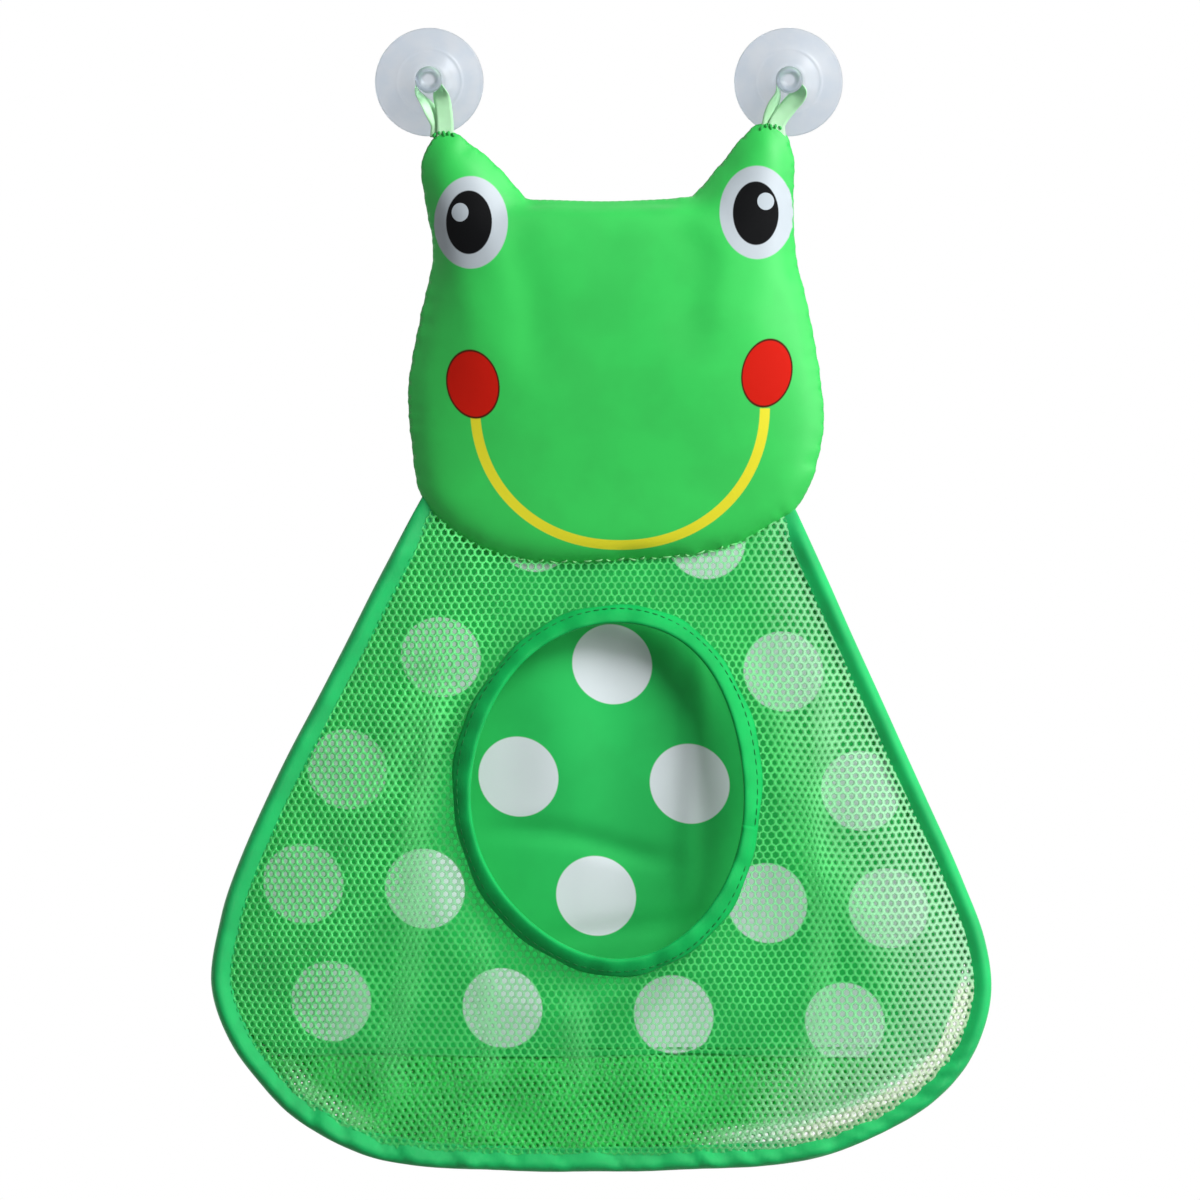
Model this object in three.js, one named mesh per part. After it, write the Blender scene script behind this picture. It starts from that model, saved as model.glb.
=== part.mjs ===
// Wall-hung bath toy organizer: a padded frog head that hangs by two ribbon loops from suction cups, with
// a net pocket sewn under it. Millimetres, +X right, +Y into the wall, +Z up. The wall is the plane Y = 0,
// and the origin lies on it, midway between the axes of the two cups. A drop is a distance below those axes.
import * as THREE from "three";

// Suction cups, each moulded in one with its neck and knob
const CUP_SPACING = 166;
const CUP_DIAMETER = 50;
const CUP_LIP_WIDTH = 2;
const CUP_LIP_THICKNESS = 1.2;
const CUP_HOLLOW_DEPTH = 3.6;
const CUP_HOLLOW_SHOULDER = 0.8;
const CUP_SKIRT_STATIONS = [1, 0.6, 0.25, 0.05];
const CUP_SKIRT_CURVE = 0.6;
const CUP_BOSS_DIAMETER = 15;
const CUP_BOSS_HEIGHT = 8;
const CUP_BOSS_CHAMFER = 0.5;
const NECK_DIAMETER = 7;
const KNOB_DIAMETER = 12.4;
const KNOB_THICKNESS = 4.5;
const KNOB_SIDE_SHARE = 0.7;
const KNOB_DIMPLE_DIAMETER = 7;
const KNOB_DIMPLE_DEPTH = 1;
const KNOB_DIMPLE_FLOOR_SHARE = 0.6;
const CUP_FACETS = 24;

// Ribbon loops between the ear tips and the cups
const RIBBON_WIDTH = 7.5;
const RIBBON_THICKNESS = 0.5;
const RIBBON_PLY_GAP = 0.3;
const RIBBON_SIDE_CLEARANCE = 0.5;
const RIBBON_NECK_CLEARANCE = 0.3;
const RIBBON_NECK_SLACK = 2;
const RIBBON_SWING_CLEARANCE = 0.2;
const RIBBON_FOOT_REACH = 0.35;
const RIBBON_NECK_REACH = 0.45;
const RIBBON_STRAND_STEPS = 14;
const RIBBON_ARC_STEPS = 10;

// Cloth and thread
const FABRIC = 0.8;
const LAYER_GAP = 0.3;
const THREAD_DIAMETER = 0.6;
const THREAD_CLEARANCE = 0.3;
const THREAD_SIDES = 4;
const SEAM_STANDOFF = 8;

// Padded head
const HEAD_TOP_DROP = 55;
const HEAD_BOTTOM_DROP = 222;
const HEAD_WIDTH = 193.6;
const HEAD_WIDEST_DROP = 152;
const HEAD_WAIST_WIDTH = 169.2;
const HEAD_WAIST_DROP = 76;
const HEAD_SEAM_WIDTH = 174;
const HEAD_SEAM_END_DROP = 195;
const HEAD_SEAM_CURVE = 3;
const HEAD_CENTRE_DROP = 135;
const HEAD_FRONT_CROWN = 16;
const HEAD_BACK_CROWN = 5;
const HEAD_CROWN_FLATNESS = 2.4;
const HEAD_CROWN_FULLNESS = 0.55;
const HEAD_FLANGE = 2.5;
const HEAD_FILLING_GAP = 0.4;
const HEAD_CROWN_RINGS = 5;
const HEAD_SEAM_STEPS = 6;
const HEAD_STITCH_SHARE = 0.3;
const HEAD_CLOSING_WIDTH = 110;
const EAR_TIP_SPACING = 151.5;
const EAR_TIP_DROP = 21;
const EAR_TIP_WIDTH = 19;
const EAR_SHOULDER_DROP = 30;
const EAR_FOOT_SPACING = 110;
const EAR_FOOT_DROP = 33.5;

// Curves of the head's outline: reach of each curve's handles as a share of its stretch, and points per curve
const TOP_EDGE_REACH = 0.8;
const EAR_FOOT_REACH = 0.74;
const EAR_FOOT_RISE = 0.4;
const EAR_TIP_SLOPE = 0.08;
const EAR_TIP_CROWN = 0.1;
const EAR_TIP_IN_REACH = 0.25;
const EAR_TIP_OUT_REACH = 0.33;
const EAR_SIDE_BULGE = 3;
const EAR_SIDE_REACH = 0.25;
const WAIST_REACH = 0.33;
const CHEEK_TOP_REACH = 0.25;
const CHEEK_REACH = 0.4;
const JAW_REACH = 0.5;
const JAW_END_REACH = 0.2;
const OUTLINE_STEPS = [5, 1, 5, 3, 4, 3];

// Pocket
const BAG_WIDTH = 359.5;
const BAG_SHOULDER_WIDTH = 177;
const BAG_BOTTOM_DROP = 502.5;
const BAG_BOTTOM_BOW = 5;
const BAG_CORNER_RADIUS = 82;
const BAG_SIDE_STEPS = 5;
const BAG_CORNER_STEPS = 5;
const BAG_BOTTOM_STEPS = 3;
const BAG_SEAM_STEPS = 12;
const BAG_SEAM_ROUNDS = 40;
const BAG_SEAM_GAP = 0.6;
const BAG_TOP_HEM = 3.5;

// Rolled edge tape and the cord in it
const TAPE = 0.9;
const BINDING_WIDTH = 9;
const BINDING_DEPTH = 8;
const BINDING_LIP_CLEARANCE = 0.4;
const BINDING_END_GAP = 3.2;
const BINDING_ARC_STEPS = 7;
const CORD_DIAMETER = 4;
const CORD_CLEARANCE = 0.4;
const CORD_SIDES = 8;

// Mouth of the pocket
const MOUTH_WIDTH = 126;
const MOUTH_HEIGHT = 154;
const MOUTH_CENTRE_DROP = 325;
const MOUTH_TOP_DEPTH = 10;
const MOUTH_BOTTOM_DEPTH = 26;
const MOUTH_TAPE_WIDTH = 8;
const MOUTH_STITCH_SHARE = 0.7;
const MOUTH_STEPS = 48;
const MESH_HEM = 1;
const MESH_IN_TAPE = 5;

// Net
const NET_ROWS = 6;
const NET_OPENNESS = 0.68;
const NET_SWELL = 2.2;
const NET_SLOPE_STEP = 0.02;

// Drain strip under the back panel
const DRAIN_SEAM_DROP = 450;
const DRAIN_LAP = 8;
const DRAIN_GAP_WIDTH = 15;
const DRAIN_GAP_HEIGHT = 11;
const DRAIN_STRAND = 5;
const DRAIN_MARGIN = 5;

// Derived places
const seamY = -SEAM_STANDOFF;
const layerPitch = FABRIC + LAYER_GAP;
const frontLayerY = seamY - layerPitch;
const drainLayerY = seamY + layerPitch;
const neckLength = RIBBON_WIDTH + 2 * RIBBON_SIDE_CLEARANCE;
const neckY = -(CUP_BOSS_HEIGHT + neckLength / 2);
const threadStandoff = THREAD_CLEARANCE + THREAD_DIAMETER / 2;
const cordInset = CORD_CLEARANCE + TAPE + CORD_DIAMETER / 2 - BINDING_WIDTH / 2;
const sheetInset = cordInset + CORD_DIAMETER / 2 + CORD_CLEARANCE;
const slotHalf = 1.5 * FABRIC + LAYER_GAP + BINDING_LIP_CLEARANCE;

const lerp = THREE.MathUtils.lerp;
const flat = (x, z) => new THREE.Vector2(x, z);
const mirrored = (points) => points.map((p) => flat(-p.x, p.y)).reverse();

// Closed geometry from points and triangles, with its faces turned outwards.
function closedGeometry(points, triangles) {
  const volume = triangles.reduce(
    (sum, [a, b, c]) => sum + points[a].dot(points[b].clone().cross(points[c])),
    0,
  );
  const outward = volume < 0 ? triangles.map(([a, b, c]) => [a, c, b]) : triangles;
  const geometry = new THREE.BufferGeometry().setFromPoints(points);
  geometry.setIndex(outward.flat());
  geometry.computeVertexNormals();
  return geometry;
}

// Skin over a row of rings of equal length. The ends close on a pole each, on each other, or with a flat cap
// in the shape of the section.
function loft(rings, { poles = null, loop = false, section = null } = {}) {
  const size = rings[0].length;
  const points = rings.flat();
  const triangles = [];
  const spans = loop ? rings.length : rings.length - 1;
  for (let k = 0; k < spans; k++) {
    const near = k * size;
    const far = ((k + 1) % rings.length) * size;
    for (let i = 0; i < size; i++) {
      const next = (i + 1) % size;
      triangles.push([near + i, near + next, far + next], [near + i, far + next, far + i]);
    }
  }
  const last = (rings.length - 1) * size;
  if (poles) {
    const first = points.push(poles[0]) - 1;
    const end = points.push(poles[1]) - 1;
    for (let i = 0; i < size; i++) {
      const next = (i + 1) % size;
      triangles.push([first, next, i], [end, last + i, last + next]);
    }
  } else if (!loop) {
    const clockwise = THREE.ShapeUtils.isClockWise(section);
    const caps = THREE.ShapeUtils.triangulateShape(section, []);
    for (const [a, b, c] of caps) {
      const cap = clockwise ? [a, b, c] : [a, c, b];
      triangles.push(cap, cap.map((v) => last + v).reverse());
    }
  }
  return closedGeometry(points, triangles);
}

// Round section with the given number of sides, in the plane of a path's two cross directions.
function roundSection(diameter, sides) {
  const section = [];
  for (let i = 0; i < sides; i++) {
    const angle = (2 * Math.PI * i) / sides;
    section.push(flat((diameter / 2) * Math.cos(angle), (diameter / 2) * Math.sin(angle)));
  }
  return section;
}

// Tube of thread along points in space, with the section square to the path.
function threadAlong(points, closed = false) {
  const section = roundSection(THREAD_DIAMETER, THREAD_SIDES);
  const count = points.length;
  const rings = points.map((point, i) => {
    const before = closed ? points[(i + count - 1) % count] : points[Math.max(i - 1, 0)];
    const after = closed ? points[(i + 1) % count] : points[Math.min(i + 1, count - 1)];
    const along = after.clone().sub(before).normalize();
    const depth = new THREE.Vector3(0, 1, 0);
    const side = along.clone().cross(depth).normalize();
    const lift = side.clone().cross(along);
    return section.map((s) => point.clone().addScaledVector(side, s.x).addScaledVector(lift, s.y));
  });
  return loft(rings, { loop: closed, section });
}

// Flat plate of cloth in the XZ plane, centred on the plane Y = y.
function clothPlate(outline, holes, y) {
  const shape = new THREE.Shape(outline);
  shape.holes = holes.map((hole) => new THREE.Path(hole));
  const geometry = new THREE.ExtrudeGeometry(shape, { depth: FABRIC, bevelEnabled: false });
  geometry.rotateX(Math.PI / 2);
  geometry.translate(0, y + FABRIC / 2, 0);
  return geometry;
}

// Lower seam of the head, which the pocket hangs from.
function seamZ(x) {
  const rise = HEAD_BOTTOM_DROP - HEAD_SEAM_END_DROP;
  return -HEAD_BOTTOM_DROP + rise * Math.abs(x / (HEAD_SEAM_WIDTH / 2)) ** HEAD_SEAM_CURVE;
}

// Outline of the head: one half from the middle of the top edge to the middle of the seam, and its mirror.
function headOutline() {
  const tipX = EAR_TIP_SPACING / 2;
  const tipZ = -EAR_TIP_DROP;
  const top = flat(0, -HEAD_TOP_DROP);
  const foot = flat(EAR_FOOT_SPACING / 2, -EAR_FOOT_DROP);
  const tipIn = flat(tipX - EAR_TIP_WIDTH / 2, tipZ - EAR_TIP_SLOPE * EAR_TIP_WIDTH);
  const shoulder = flat(tipX + EAR_TIP_WIDTH / 2, -EAR_SHOULDER_DROP);
  const waist = flat(HEAD_WAIST_WIDTH / 2, -HEAD_WAIST_DROP);
  const widest = flat(HEAD_WIDTH / 2, -HEAD_WIDEST_DROP);
  const seamEnd = flat(HEAD_SEAM_WIDTH / 2, -HEAD_SEAM_END_DROP);
  const earRise = foot.y - top.y;
  const earSide = shoulder.y - waist.y;
  const cheek = waist.y - widest.y;
  const jaw = widest.y - seamEnd.y;
  const curves = [
    new THREE.CubicBezierCurve(
      top,
      flat(TOP_EDGE_REACH * foot.x, top.y),
      flat(EAR_FOOT_REACH * foot.x, top.y + EAR_FOOT_RISE * earRise),
      foot,
    ),
    new THREE.LineCurve(foot, tipIn),
    new THREE.CubicBezierCurve(
      tipIn,
      flat(tipX - EAR_TIP_IN_REACH * EAR_TIP_WIDTH, tipZ + EAR_TIP_CROWN * EAR_TIP_WIDTH),
      flat(tipX + EAR_TIP_OUT_REACH * EAR_TIP_WIDTH, tipZ + EAR_TIP_CROWN * EAR_TIP_WIDTH),
      shoulder,
    ),
    new THREE.CubicBezierCurve(
      shoulder,
      flat(shoulder.x + EAR_SIDE_BULGE, shoulder.y - EAR_SIDE_REACH * earSide),
      flat(waist.x, waist.y + WAIST_REACH * earSide),
      waist,
    ),
    new THREE.CubicBezierCurve(
      waist,
      flat(waist.x, waist.y - CHEEK_TOP_REACH * cheek),
      flat(widest.x, widest.y + CHEEK_REACH * cheek),
      widest,
    ),
    new THREE.CubicBezierCurve(
      widest,
      flat(widest.x, widest.y - JAW_REACH * jaw),
      flat((widest.x + seamEnd.x) / 2, seamEnd.y + JAW_END_REACH * jaw),
      seamEnd,
    ),
  ];
  const half = curves.flatMap((curve, k) => curve.getPoints(OUTLINE_STEPS[k]).slice(0, -1));
  for (let k = 0; k < HEAD_SEAM_STEPS; k++) {
    const x = seamEnd.x * Math.cos((k / HEAD_SEAM_STEPS) * (Math.PI / 2));
    half.push(flat(x, seamZ(x)));
  }
  return [...half, flat(0, -HEAD_BOTTOM_DROP), ...mirrored(half.slice(1))];
}

const outlineOfHead = headOutline();
const headCentre = flat(0, -HEAD_CENTRE_DROP);
const crownAt = (share) => (1 - share ** HEAD_CROWN_FLATNESS) ** HEAD_CROWN_FULLNESS;
const ringShare = (k) => Math.cos((k / HEAD_CROWN_RINGS) * (Math.PI / 2));

// Rings of a crowned surface over the head's outline, from the edge inwards, with the crown towards side * Y.
// Inner rings ease from the outline to an oval, so that the ears swell out of the face without a ridge.
function crownRings(inset, crown, baseY, side) {
  const ovalHalf = flat(HEAD_WIDTH / 2, (HEAD_BOTTOM_DROP - HEAD_TOP_DROP) / 2);
  const rings = [];
  for (let k = 0; k < HEAD_CROWN_RINGS; k++) {
    const share = ringShare(k);
    rings.push(
      outlineOfHead.map((p) => {
        const reach = p.clone().sub(headCentre);
        const edge = reach.length() - inset;
        reach.normalize();
        const oval = 1 / Math.hypot(reach.x / ovalHalf.x, reach.y / ovalHalf.y) - inset;
        const place = reach.multiplyScalar(share * lerp(oval, edge, share ** 2)).add(headCentre);
        return new THREE.Vector3(place.x, baseY + side * crown * crownAt(share), place.y);
      }),
    );
  }
  return rings;
}

const headPole = (y) => new THREE.Vector3(0, y, -HEAD_CENTRE_DROP);

// One cloth panel of the head: a crowned shell with a flat flange along the seam.
function headPanel(crown, side) {
  const innerY = seamY + (side * LAYER_GAP) / 2;
  const outerY = innerY + side * FABRIC;
  const outer = crownRings(0, crown, outerY, side);
  const rim = crownRings(0, crown, innerY, side)[0];
  const inner = crownRings(HEAD_FLANGE, crown, innerY, side);
  const rings = [...outer.reverse(), rim, ...inner];
  return loft(rings, { poles: [headPole(outerY + side * crown), headPole(innerY + side * crown)] });
}

function headFilling() {
  const inset = HEAD_FLANGE + HEAD_FILLING_GAP;
  const frontCrown = HEAD_FRONT_CROWN - HEAD_FILLING_GAP;
  const backCrown = HEAD_BACK_CROWN - HEAD_FILLING_GAP;
  const front = crownRings(inset, frontCrown, seamY, -1);
  const back = crownRings(inset, backCrown, seamY, 1);
  const rings = [...front.reverse(), ...back.slice(1)];
  return loft(rings, { poles: [headPole(seamY - frontCrown), headPole(seamY + backCrown)] });
}

// Thread on the front of the head, just inside the stretch of outline that the test picks.
function headThread(picks) {
  const outerY = seamY - LAYER_GAP / 2 - FABRIC;
  const [edge, ring] = crownRings(0, HEAD_FRONT_CROWN, outerY, -1);
  const points = edge
    .map((place, i) => place.clone().lerp(ring[i], HEAD_STITCH_SHARE))
    .filter((_, i) => picks(outlineOfHead[i]));
  points.forEach((place) => place.setY(place.y - 2 * threadStandoff));
  return threadAlong(points);
}

// Suction cup from the hollow at the wall to the dimple in its knob.
function cupGeometry() {
  const lip = CUP_DIAMETER / 2;
  const boss = CUP_BOSS_DIAMETER / 2;
  const neck = NECK_DIAMETER / 2;
  const knob = KNOB_DIAMETER / 2;
  const dimple = KNOB_DIMPLE_DIAMETER / 2;
  const hollow = lip - CUP_LIP_WIDTH;
  const knobStart = CUP_BOSS_HEIGHT + neckLength;
  const knobEnd = knobStart + KNOB_THICKNESS;
  const skirt = (share) => {
    const height = lerp(CUP_BOSS_HEIGHT, CUP_LIP_THICKNESS, share ** CUP_SKIRT_CURVE);
    return flat(lerp(boss, lip, share), height);
  };
  const profile = [
    flat(0, CUP_HOLLOW_DEPTH),
    flat(hollow / 2, CUP_HOLLOW_SHOULDER * CUP_HOLLOW_DEPTH),
    flat(hollow, 0),
    flat(lip, 0),
    ...CUP_SKIRT_STATIONS.map(skirt),
    flat(boss - CUP_BOSS_CHAMFER, CUP_BOSS_HEIGHT),
    flat(neck, CUP_BOSS_HEIGHT),
    flat(neck, knobStart),
    flat(knob, knobStart),
    flat(knob, knobStart + KNOB_SIDE_SHARE * KNOB_THICKNESS),
    flat((knob + dimple) / 2, knobEnd),
    flat(dimple, knobEnd),
    flat(KNOB_DIMPLE_FLOOR_SHARE * dimple, knobEnd - KNOB_DIMPLE_DEPTH),
    flat(0, knobEnd - KNOB_DIMPLE_DEPTH),
  ];
  const geometry = new THREE.LatheGeometry(profile, CUP_FACETS);
  geometry.rotateX(Math.PI);
  return geometry;
}

// Ribbon that rises from an ear tip, goes round the cup's neck and comes down behind itself. Each strand
// turns a quarter on the way, so that it lies flat on the other at the ear.
const ribbonFootZ =
  Math.max(...outlineOfHead.map((p) => p.y)) + RIBBON_THICKNESS + RIBBON_PLY_GAP / 2 + RIBBON_SWING_CLEARANCE;

function ribbonLoop(side) {
  const footX = (side * EAR_TIP_SPACING) / 2;
  const cupX = (side * CUP_SPACING) / 2;
  const radius = NECK_DIAMETER / 2 + RIBBON_NECK_SLACK + RIBBON_THICKNESS / 2;
  const bearing = NECK_DIAMETER / 2 + RIBBON_NECK_CLEARANCE + RIBBON_THICKNESS / 2;
  const arcZ = bearing - radius;
  const climb = arcZ - ribbonFootZ;
  const plyOffset = (RIBBON_THICKNESS + RIBBON_PLY_GAP) / 2;
  const stations = [];
  const strand = (hand, ply) => {
    const curve = new THREE.CubicBezierCurve(
      flat(footX, ribbonFootZ),
      flat(footX, ribbonFootZ + RIBBON_FOOT_REACH * climb),
      flat(cupX + hand * radius, arcZ - RIBBON_NECK_REACH * climb),
      flat(cupX + hand * radius, arcZ),
    );
    const made = [];
    for (let k = 0; k <= RIBBON_STRAND_STEPS; k++) {
      const share = k / RIBBON_STRAND_STEPS;
      const place = curve.getPoint(share);
      const ease = THREE.MathUtils.smoothstep(share, 0, 1);
      const y = lerp(seamY + ply * plyOffset, neckY, ease);
      made.push({ place: new THREE.Vector3(place.x, y, place.y), turn: (1 - ease) * (Math.PI / 2) });
    }
    return made;
  };
  stations.push(...strand(1, -1));
  for (let k = 1; k < RIBBON_ARC_STEPS; k++) {
    const angle = (Math.PI * k) / RIBBON_ARC_STEPS;
    const x = cupX + radius * Math.cos(angle);
    const z = arcZ + radius * Math.sin(angle);
    stations.push({ place: new THREE.Vector3(x, neckY, z), turn: 0 });
  }
  stations.push(...strand(-1, 1).reverse());
  const half = flat(RIBBON_WIDTH / 2, RIBBON_THICKNESS / 2);
  const section = [
    flat(-half.x, -half.y),
    flat(half.x, -half.y),
    flat(half.x, half.y),
    flat(-half.x, half.y),
  ];
  const arcMiddle = (stations.length - 1) / 2;
  const rings = stations.map(({ place, turn }, i) => {
    const sense = i < arcMiddle ? 1 : -1;
    const before = stations[i - 1]?.place;
    const after = stations[i + 1]?.place;
    const along = before && after ? after.clone().sub(before).normalize() : new THREE.Vector3(0, 0, sense);
    const depth = new THREE.Vector3(0, 1, 0).addScaledVector(along, -along.y).normalize();
    const width = depth.applyAxisAngle(along, sense * turn);
    const thick = along.clone().cross(width);
    return section.map((s) => place.clone().addScaledVector(width, s.x).addScaledVector(thick, s.y));
  });
  return loft(rings, { section });
}

// Middle line of the edge tape: from the right shoulder down the side, round the corner and along the bottom.
// Each station has its place and the outward direction there.
const tapeHalf = BINDING_WIDTH / 2;
const cornerCentre = flat(
  BAG_WIDTH / 2 - tapeHalf - BAG_CORNER_RADIUS,
  -BAG_BOTTOM_DROP + tapeHalf + BAG_BOTTOM_BOW + BAG_CORNER_RADIUS,
);
const bottomZ = -BAG_BOTTOM_DROP + tapeHalf;
const cornerHeight = cornerCentre.y - bottomZ;
const bottomSpan = cornerHeight ** 2 + cornerCentre.x ** 2 - BAG_CORNER_RADIUS ** 2;
const bottomRadius = bottomSpan / (2 * (cornerHeight - BAG_CORNER_RADIUS));
const bottomCentre = flat(0, bottomZ + bottomRadius);
const shoulderPoint = flat(BAG_SHOULDER_WIDTH / 2 - tapeHalf, -HEAD_SEAM_END_DROP);
const toShoulder = shoulderPoint.clone().sub(cornerCentre);
const sideAngle = toShoulder.angle() - Math.acos(BAG_CORNER_RADIUS / toShoulder.length());
const sideOut = flat(Math.cos(sideAngle), Math.sin(sideAngle));
const sideEnd = cornerCentre.clone().addScaledVector(sideOut, BAG_CORNER_RADIUS);
const turnEnd = cornerCentre.clone().sub(bottomCentre).angle() - 2 * Math.PI;

// Half of the pocket's edge, moved inwards from the tape's middle line and starting a gap below the seam.
function sidePath(inset, seamGap) {
  const slope = -sideOut.y / sideOut.x;
  const foot = sideEnd.clone().addScaledVector(sideOut, -inset);
  const start = foot.clone();
  for (let k = 0; k < BAG_SEAM_ROUNDS; k++) {
    start.y = seamZ(start.x) - seamGap;
    start.x = foot.x + (start.y - foot.y) * slope;
  }
  const path = [];
  for (let k = 0; k < BAG_SIDE_STEPS; k++) {
    path.push({ place: start.clone().lerp(foot, k / BAG_SIDE_STEPS), out: sideOut });
  }
  for (let k = 0; k < BAG_CORNER_STEPS; k++) {
    const angle = lerp(sideAngle, turnEnd, k / BAG_CORNER_STEPS);
    const out = flat(Math.cos(angle), Math.sin(angle));
    path.push({ place: cornerCentre.clone().addScaledVector(out, BAG_CORNER_RADIUS - inset), out });
  }
  for (let k = 0; k <= BAG_BOTTOM_STEPS; k++) {
    const angle = lerp(turnEnd, -Math.PI / 2, k / BAG_BOTTOM_STEPS);
    const out = flat(Math.cos(angle), Math.sin(angle));
    path.push({ place: bottomCentre.clone().addScaledVector(out, bottomRadius - inset), out });
  }
  return path;
}

function edgePath(inset, seamGap) {
  const right = sidePath(inset, seamGap);
  const left = right.slice(0, -1).reverse();
  const mirror = (p) => flat(-p.x, p.y);
  return [...right, ...left.map(({ place, out }) => ({ place: mirror(place), out: mirror(out) }))];
}

// Closed outline of a pocket sheet: down the right edge, along the bottom, up the left edge and back under
// the seam.
function sheetOutline(inset, seamGap) {
  const outline = edgePath(inset, seamGap).map(({ place }) => place);
  const end = outline[0].x;
  for (let k = 1; k < BAG_SEAM_STEPS; k++) {
    const x = -end * Math.cos((Math.PI * k) / BAG_SEAM_STEPS);
    outline.push(flat(x, seamZ(x) - seamGap));
  }
  return outline;
}

// Part of an outline on one side of a level line: above it for side 1, below it for side -1.
function cutAtLevel(outline, level, side) {
  const kept = [];
  outline.forEach((p, i) => {
    const next = outline[(i + 1) % outline.length];
    const here = side * (p.y - level);
    const there = side * (next.y - level);
    if (here >= 0) kept.push(p.clone());
    if (here * there < 0) kept.push(p.clone().lerp(next, here / (here - there)));
  });
  return kept;
}

// Sweep of a section along the pocket's edge, with the section's x pointing outwards and its y along Y.
function sweepEdge(section, inset, seamGap) {
  const rings = edgePath(inset, seamGap).map(({ place, out }) =>
    section.map((s) => new THREE.Vector3(place.x + out.x * s.x, seamY + s.y, place.y + out.y * s.x)),
  );
  return loft(rings, { section });
}

// Rolled tape: a tube with a slot on its inner side, where the sheets go in.
function edgeBinding() {
  const innerHalf = flat(BINDING_WIDTH / 2 - TAPE, BINDING_DEPTH / 2 - TAPE);
  const open = Math.PI - Math.asin(slotHalf / innerHalf.y);
  const arc = (half, from, to) => {
    const points = [];
    for (let k = 0; k <= BINDING_ARC_STEPS; k++) {
      const angle = lerp(from, to, k / BINDING_ARC_STEPS);
      points.push(flat(half.x * Math.cos(angle), half.y * Math.sin(angle)));
    }
    return points;
  };
  const outer = arc(flat(BINDING_WIDTH / 2, BINDING_DEPTH / 2), -open, open);
  return sweepEdge([...outer, ...arc(innerHalf, open, -open)], 0, BINDING_END_GAP);
}

const edgeCord = () => sweepEdge(roundSection(CORD_DIAMETER, CORD_SIDES), cordInset, BINDING_END_GAP);

function edgeStitch() {
  const y = seamY - BINDING_DEPTH / 2 - threadStandoff;
  const path = edgePath(BINDING_WIDTH / 4, BINDING_END_GAP);
  return threadAlong(path.map(({ place }) => new THREE.Vector3(place.x, y, place.y)));
}

// Mouth: an oval in a plane that leans forwards towards its lower end.
const mouthHalf = flat(MOUTH_WIDTH / 2, MOUTH_HEIGHT / 2);
const mouthLean = (MOUTH_BOTTOM_DEPTH - MOUTH_TOP_DEPTH) / MOUTH_HEIGHT;
const mouthY = (z) => frontLayerY - MOUTH_TOP_DEPTH + mouthLean * (z + MOUTH_CENTRE_DROP - mouthHalf.y);

// Point of the mouth at an angle of its oval, moved outwards from its clear edge and off its plane.
function mouthPoint(angle, outwards, offPlane = 0) {
  const out = flat(Math.cos(angle) / mouthHalf.x, Math.sin(angle) / mouthHalf.y).normalize();
  const x = mouthHalf.x * Math.cos(angle) + outwards * out.x;
  const z = mouthHalf.y * Math.sin(angle) - MOUTH_CENTRE_DROP + outwards * out.y;
  return new THREE.Vector3(x, mouthY(z) + offPlane, z);
}

const mouthAngles = Array.from({ length: MOUTH_STEPS }, (_, k) => (2 * Math.PI * k) / MOUTH_STEPS);

// Tape folded over the rim of the mouth, open on the side where the net goes in.
function mouthBinding() {
  const slot = FABRIC / 2 + LAYER_GAP;
  const face = slot + TAPE;
  const width = MOUTH_TAPE_WIDTH;
  const section = [
    [width, -face],
    [TAPE, -face],
    [0, -slot],
    [0, slot],
    [TAPE, face],
    [width, face],
    [width, slot],
    [TAPE, slot],
    [TAPE, -slot],
    [width, -slot],
  ];
  const rings = mouthAngles.map((angle) => section.map(([out, off]) => mouthPoint(angle, out, off)));
  return loft(rings, { loop: true });
}

function mouthStitch() {
  const off = -(FABRIC / 2 + LAYER_GAP + TAPE + threadStandoff);
  const out = MOUTH_STITCH_SHARE * MOUTH_TAPE_WIDTH;
  return threadAlong(mouthAngles.map((angle) => mouthPoint(angle, out, off)), true);
}

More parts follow.
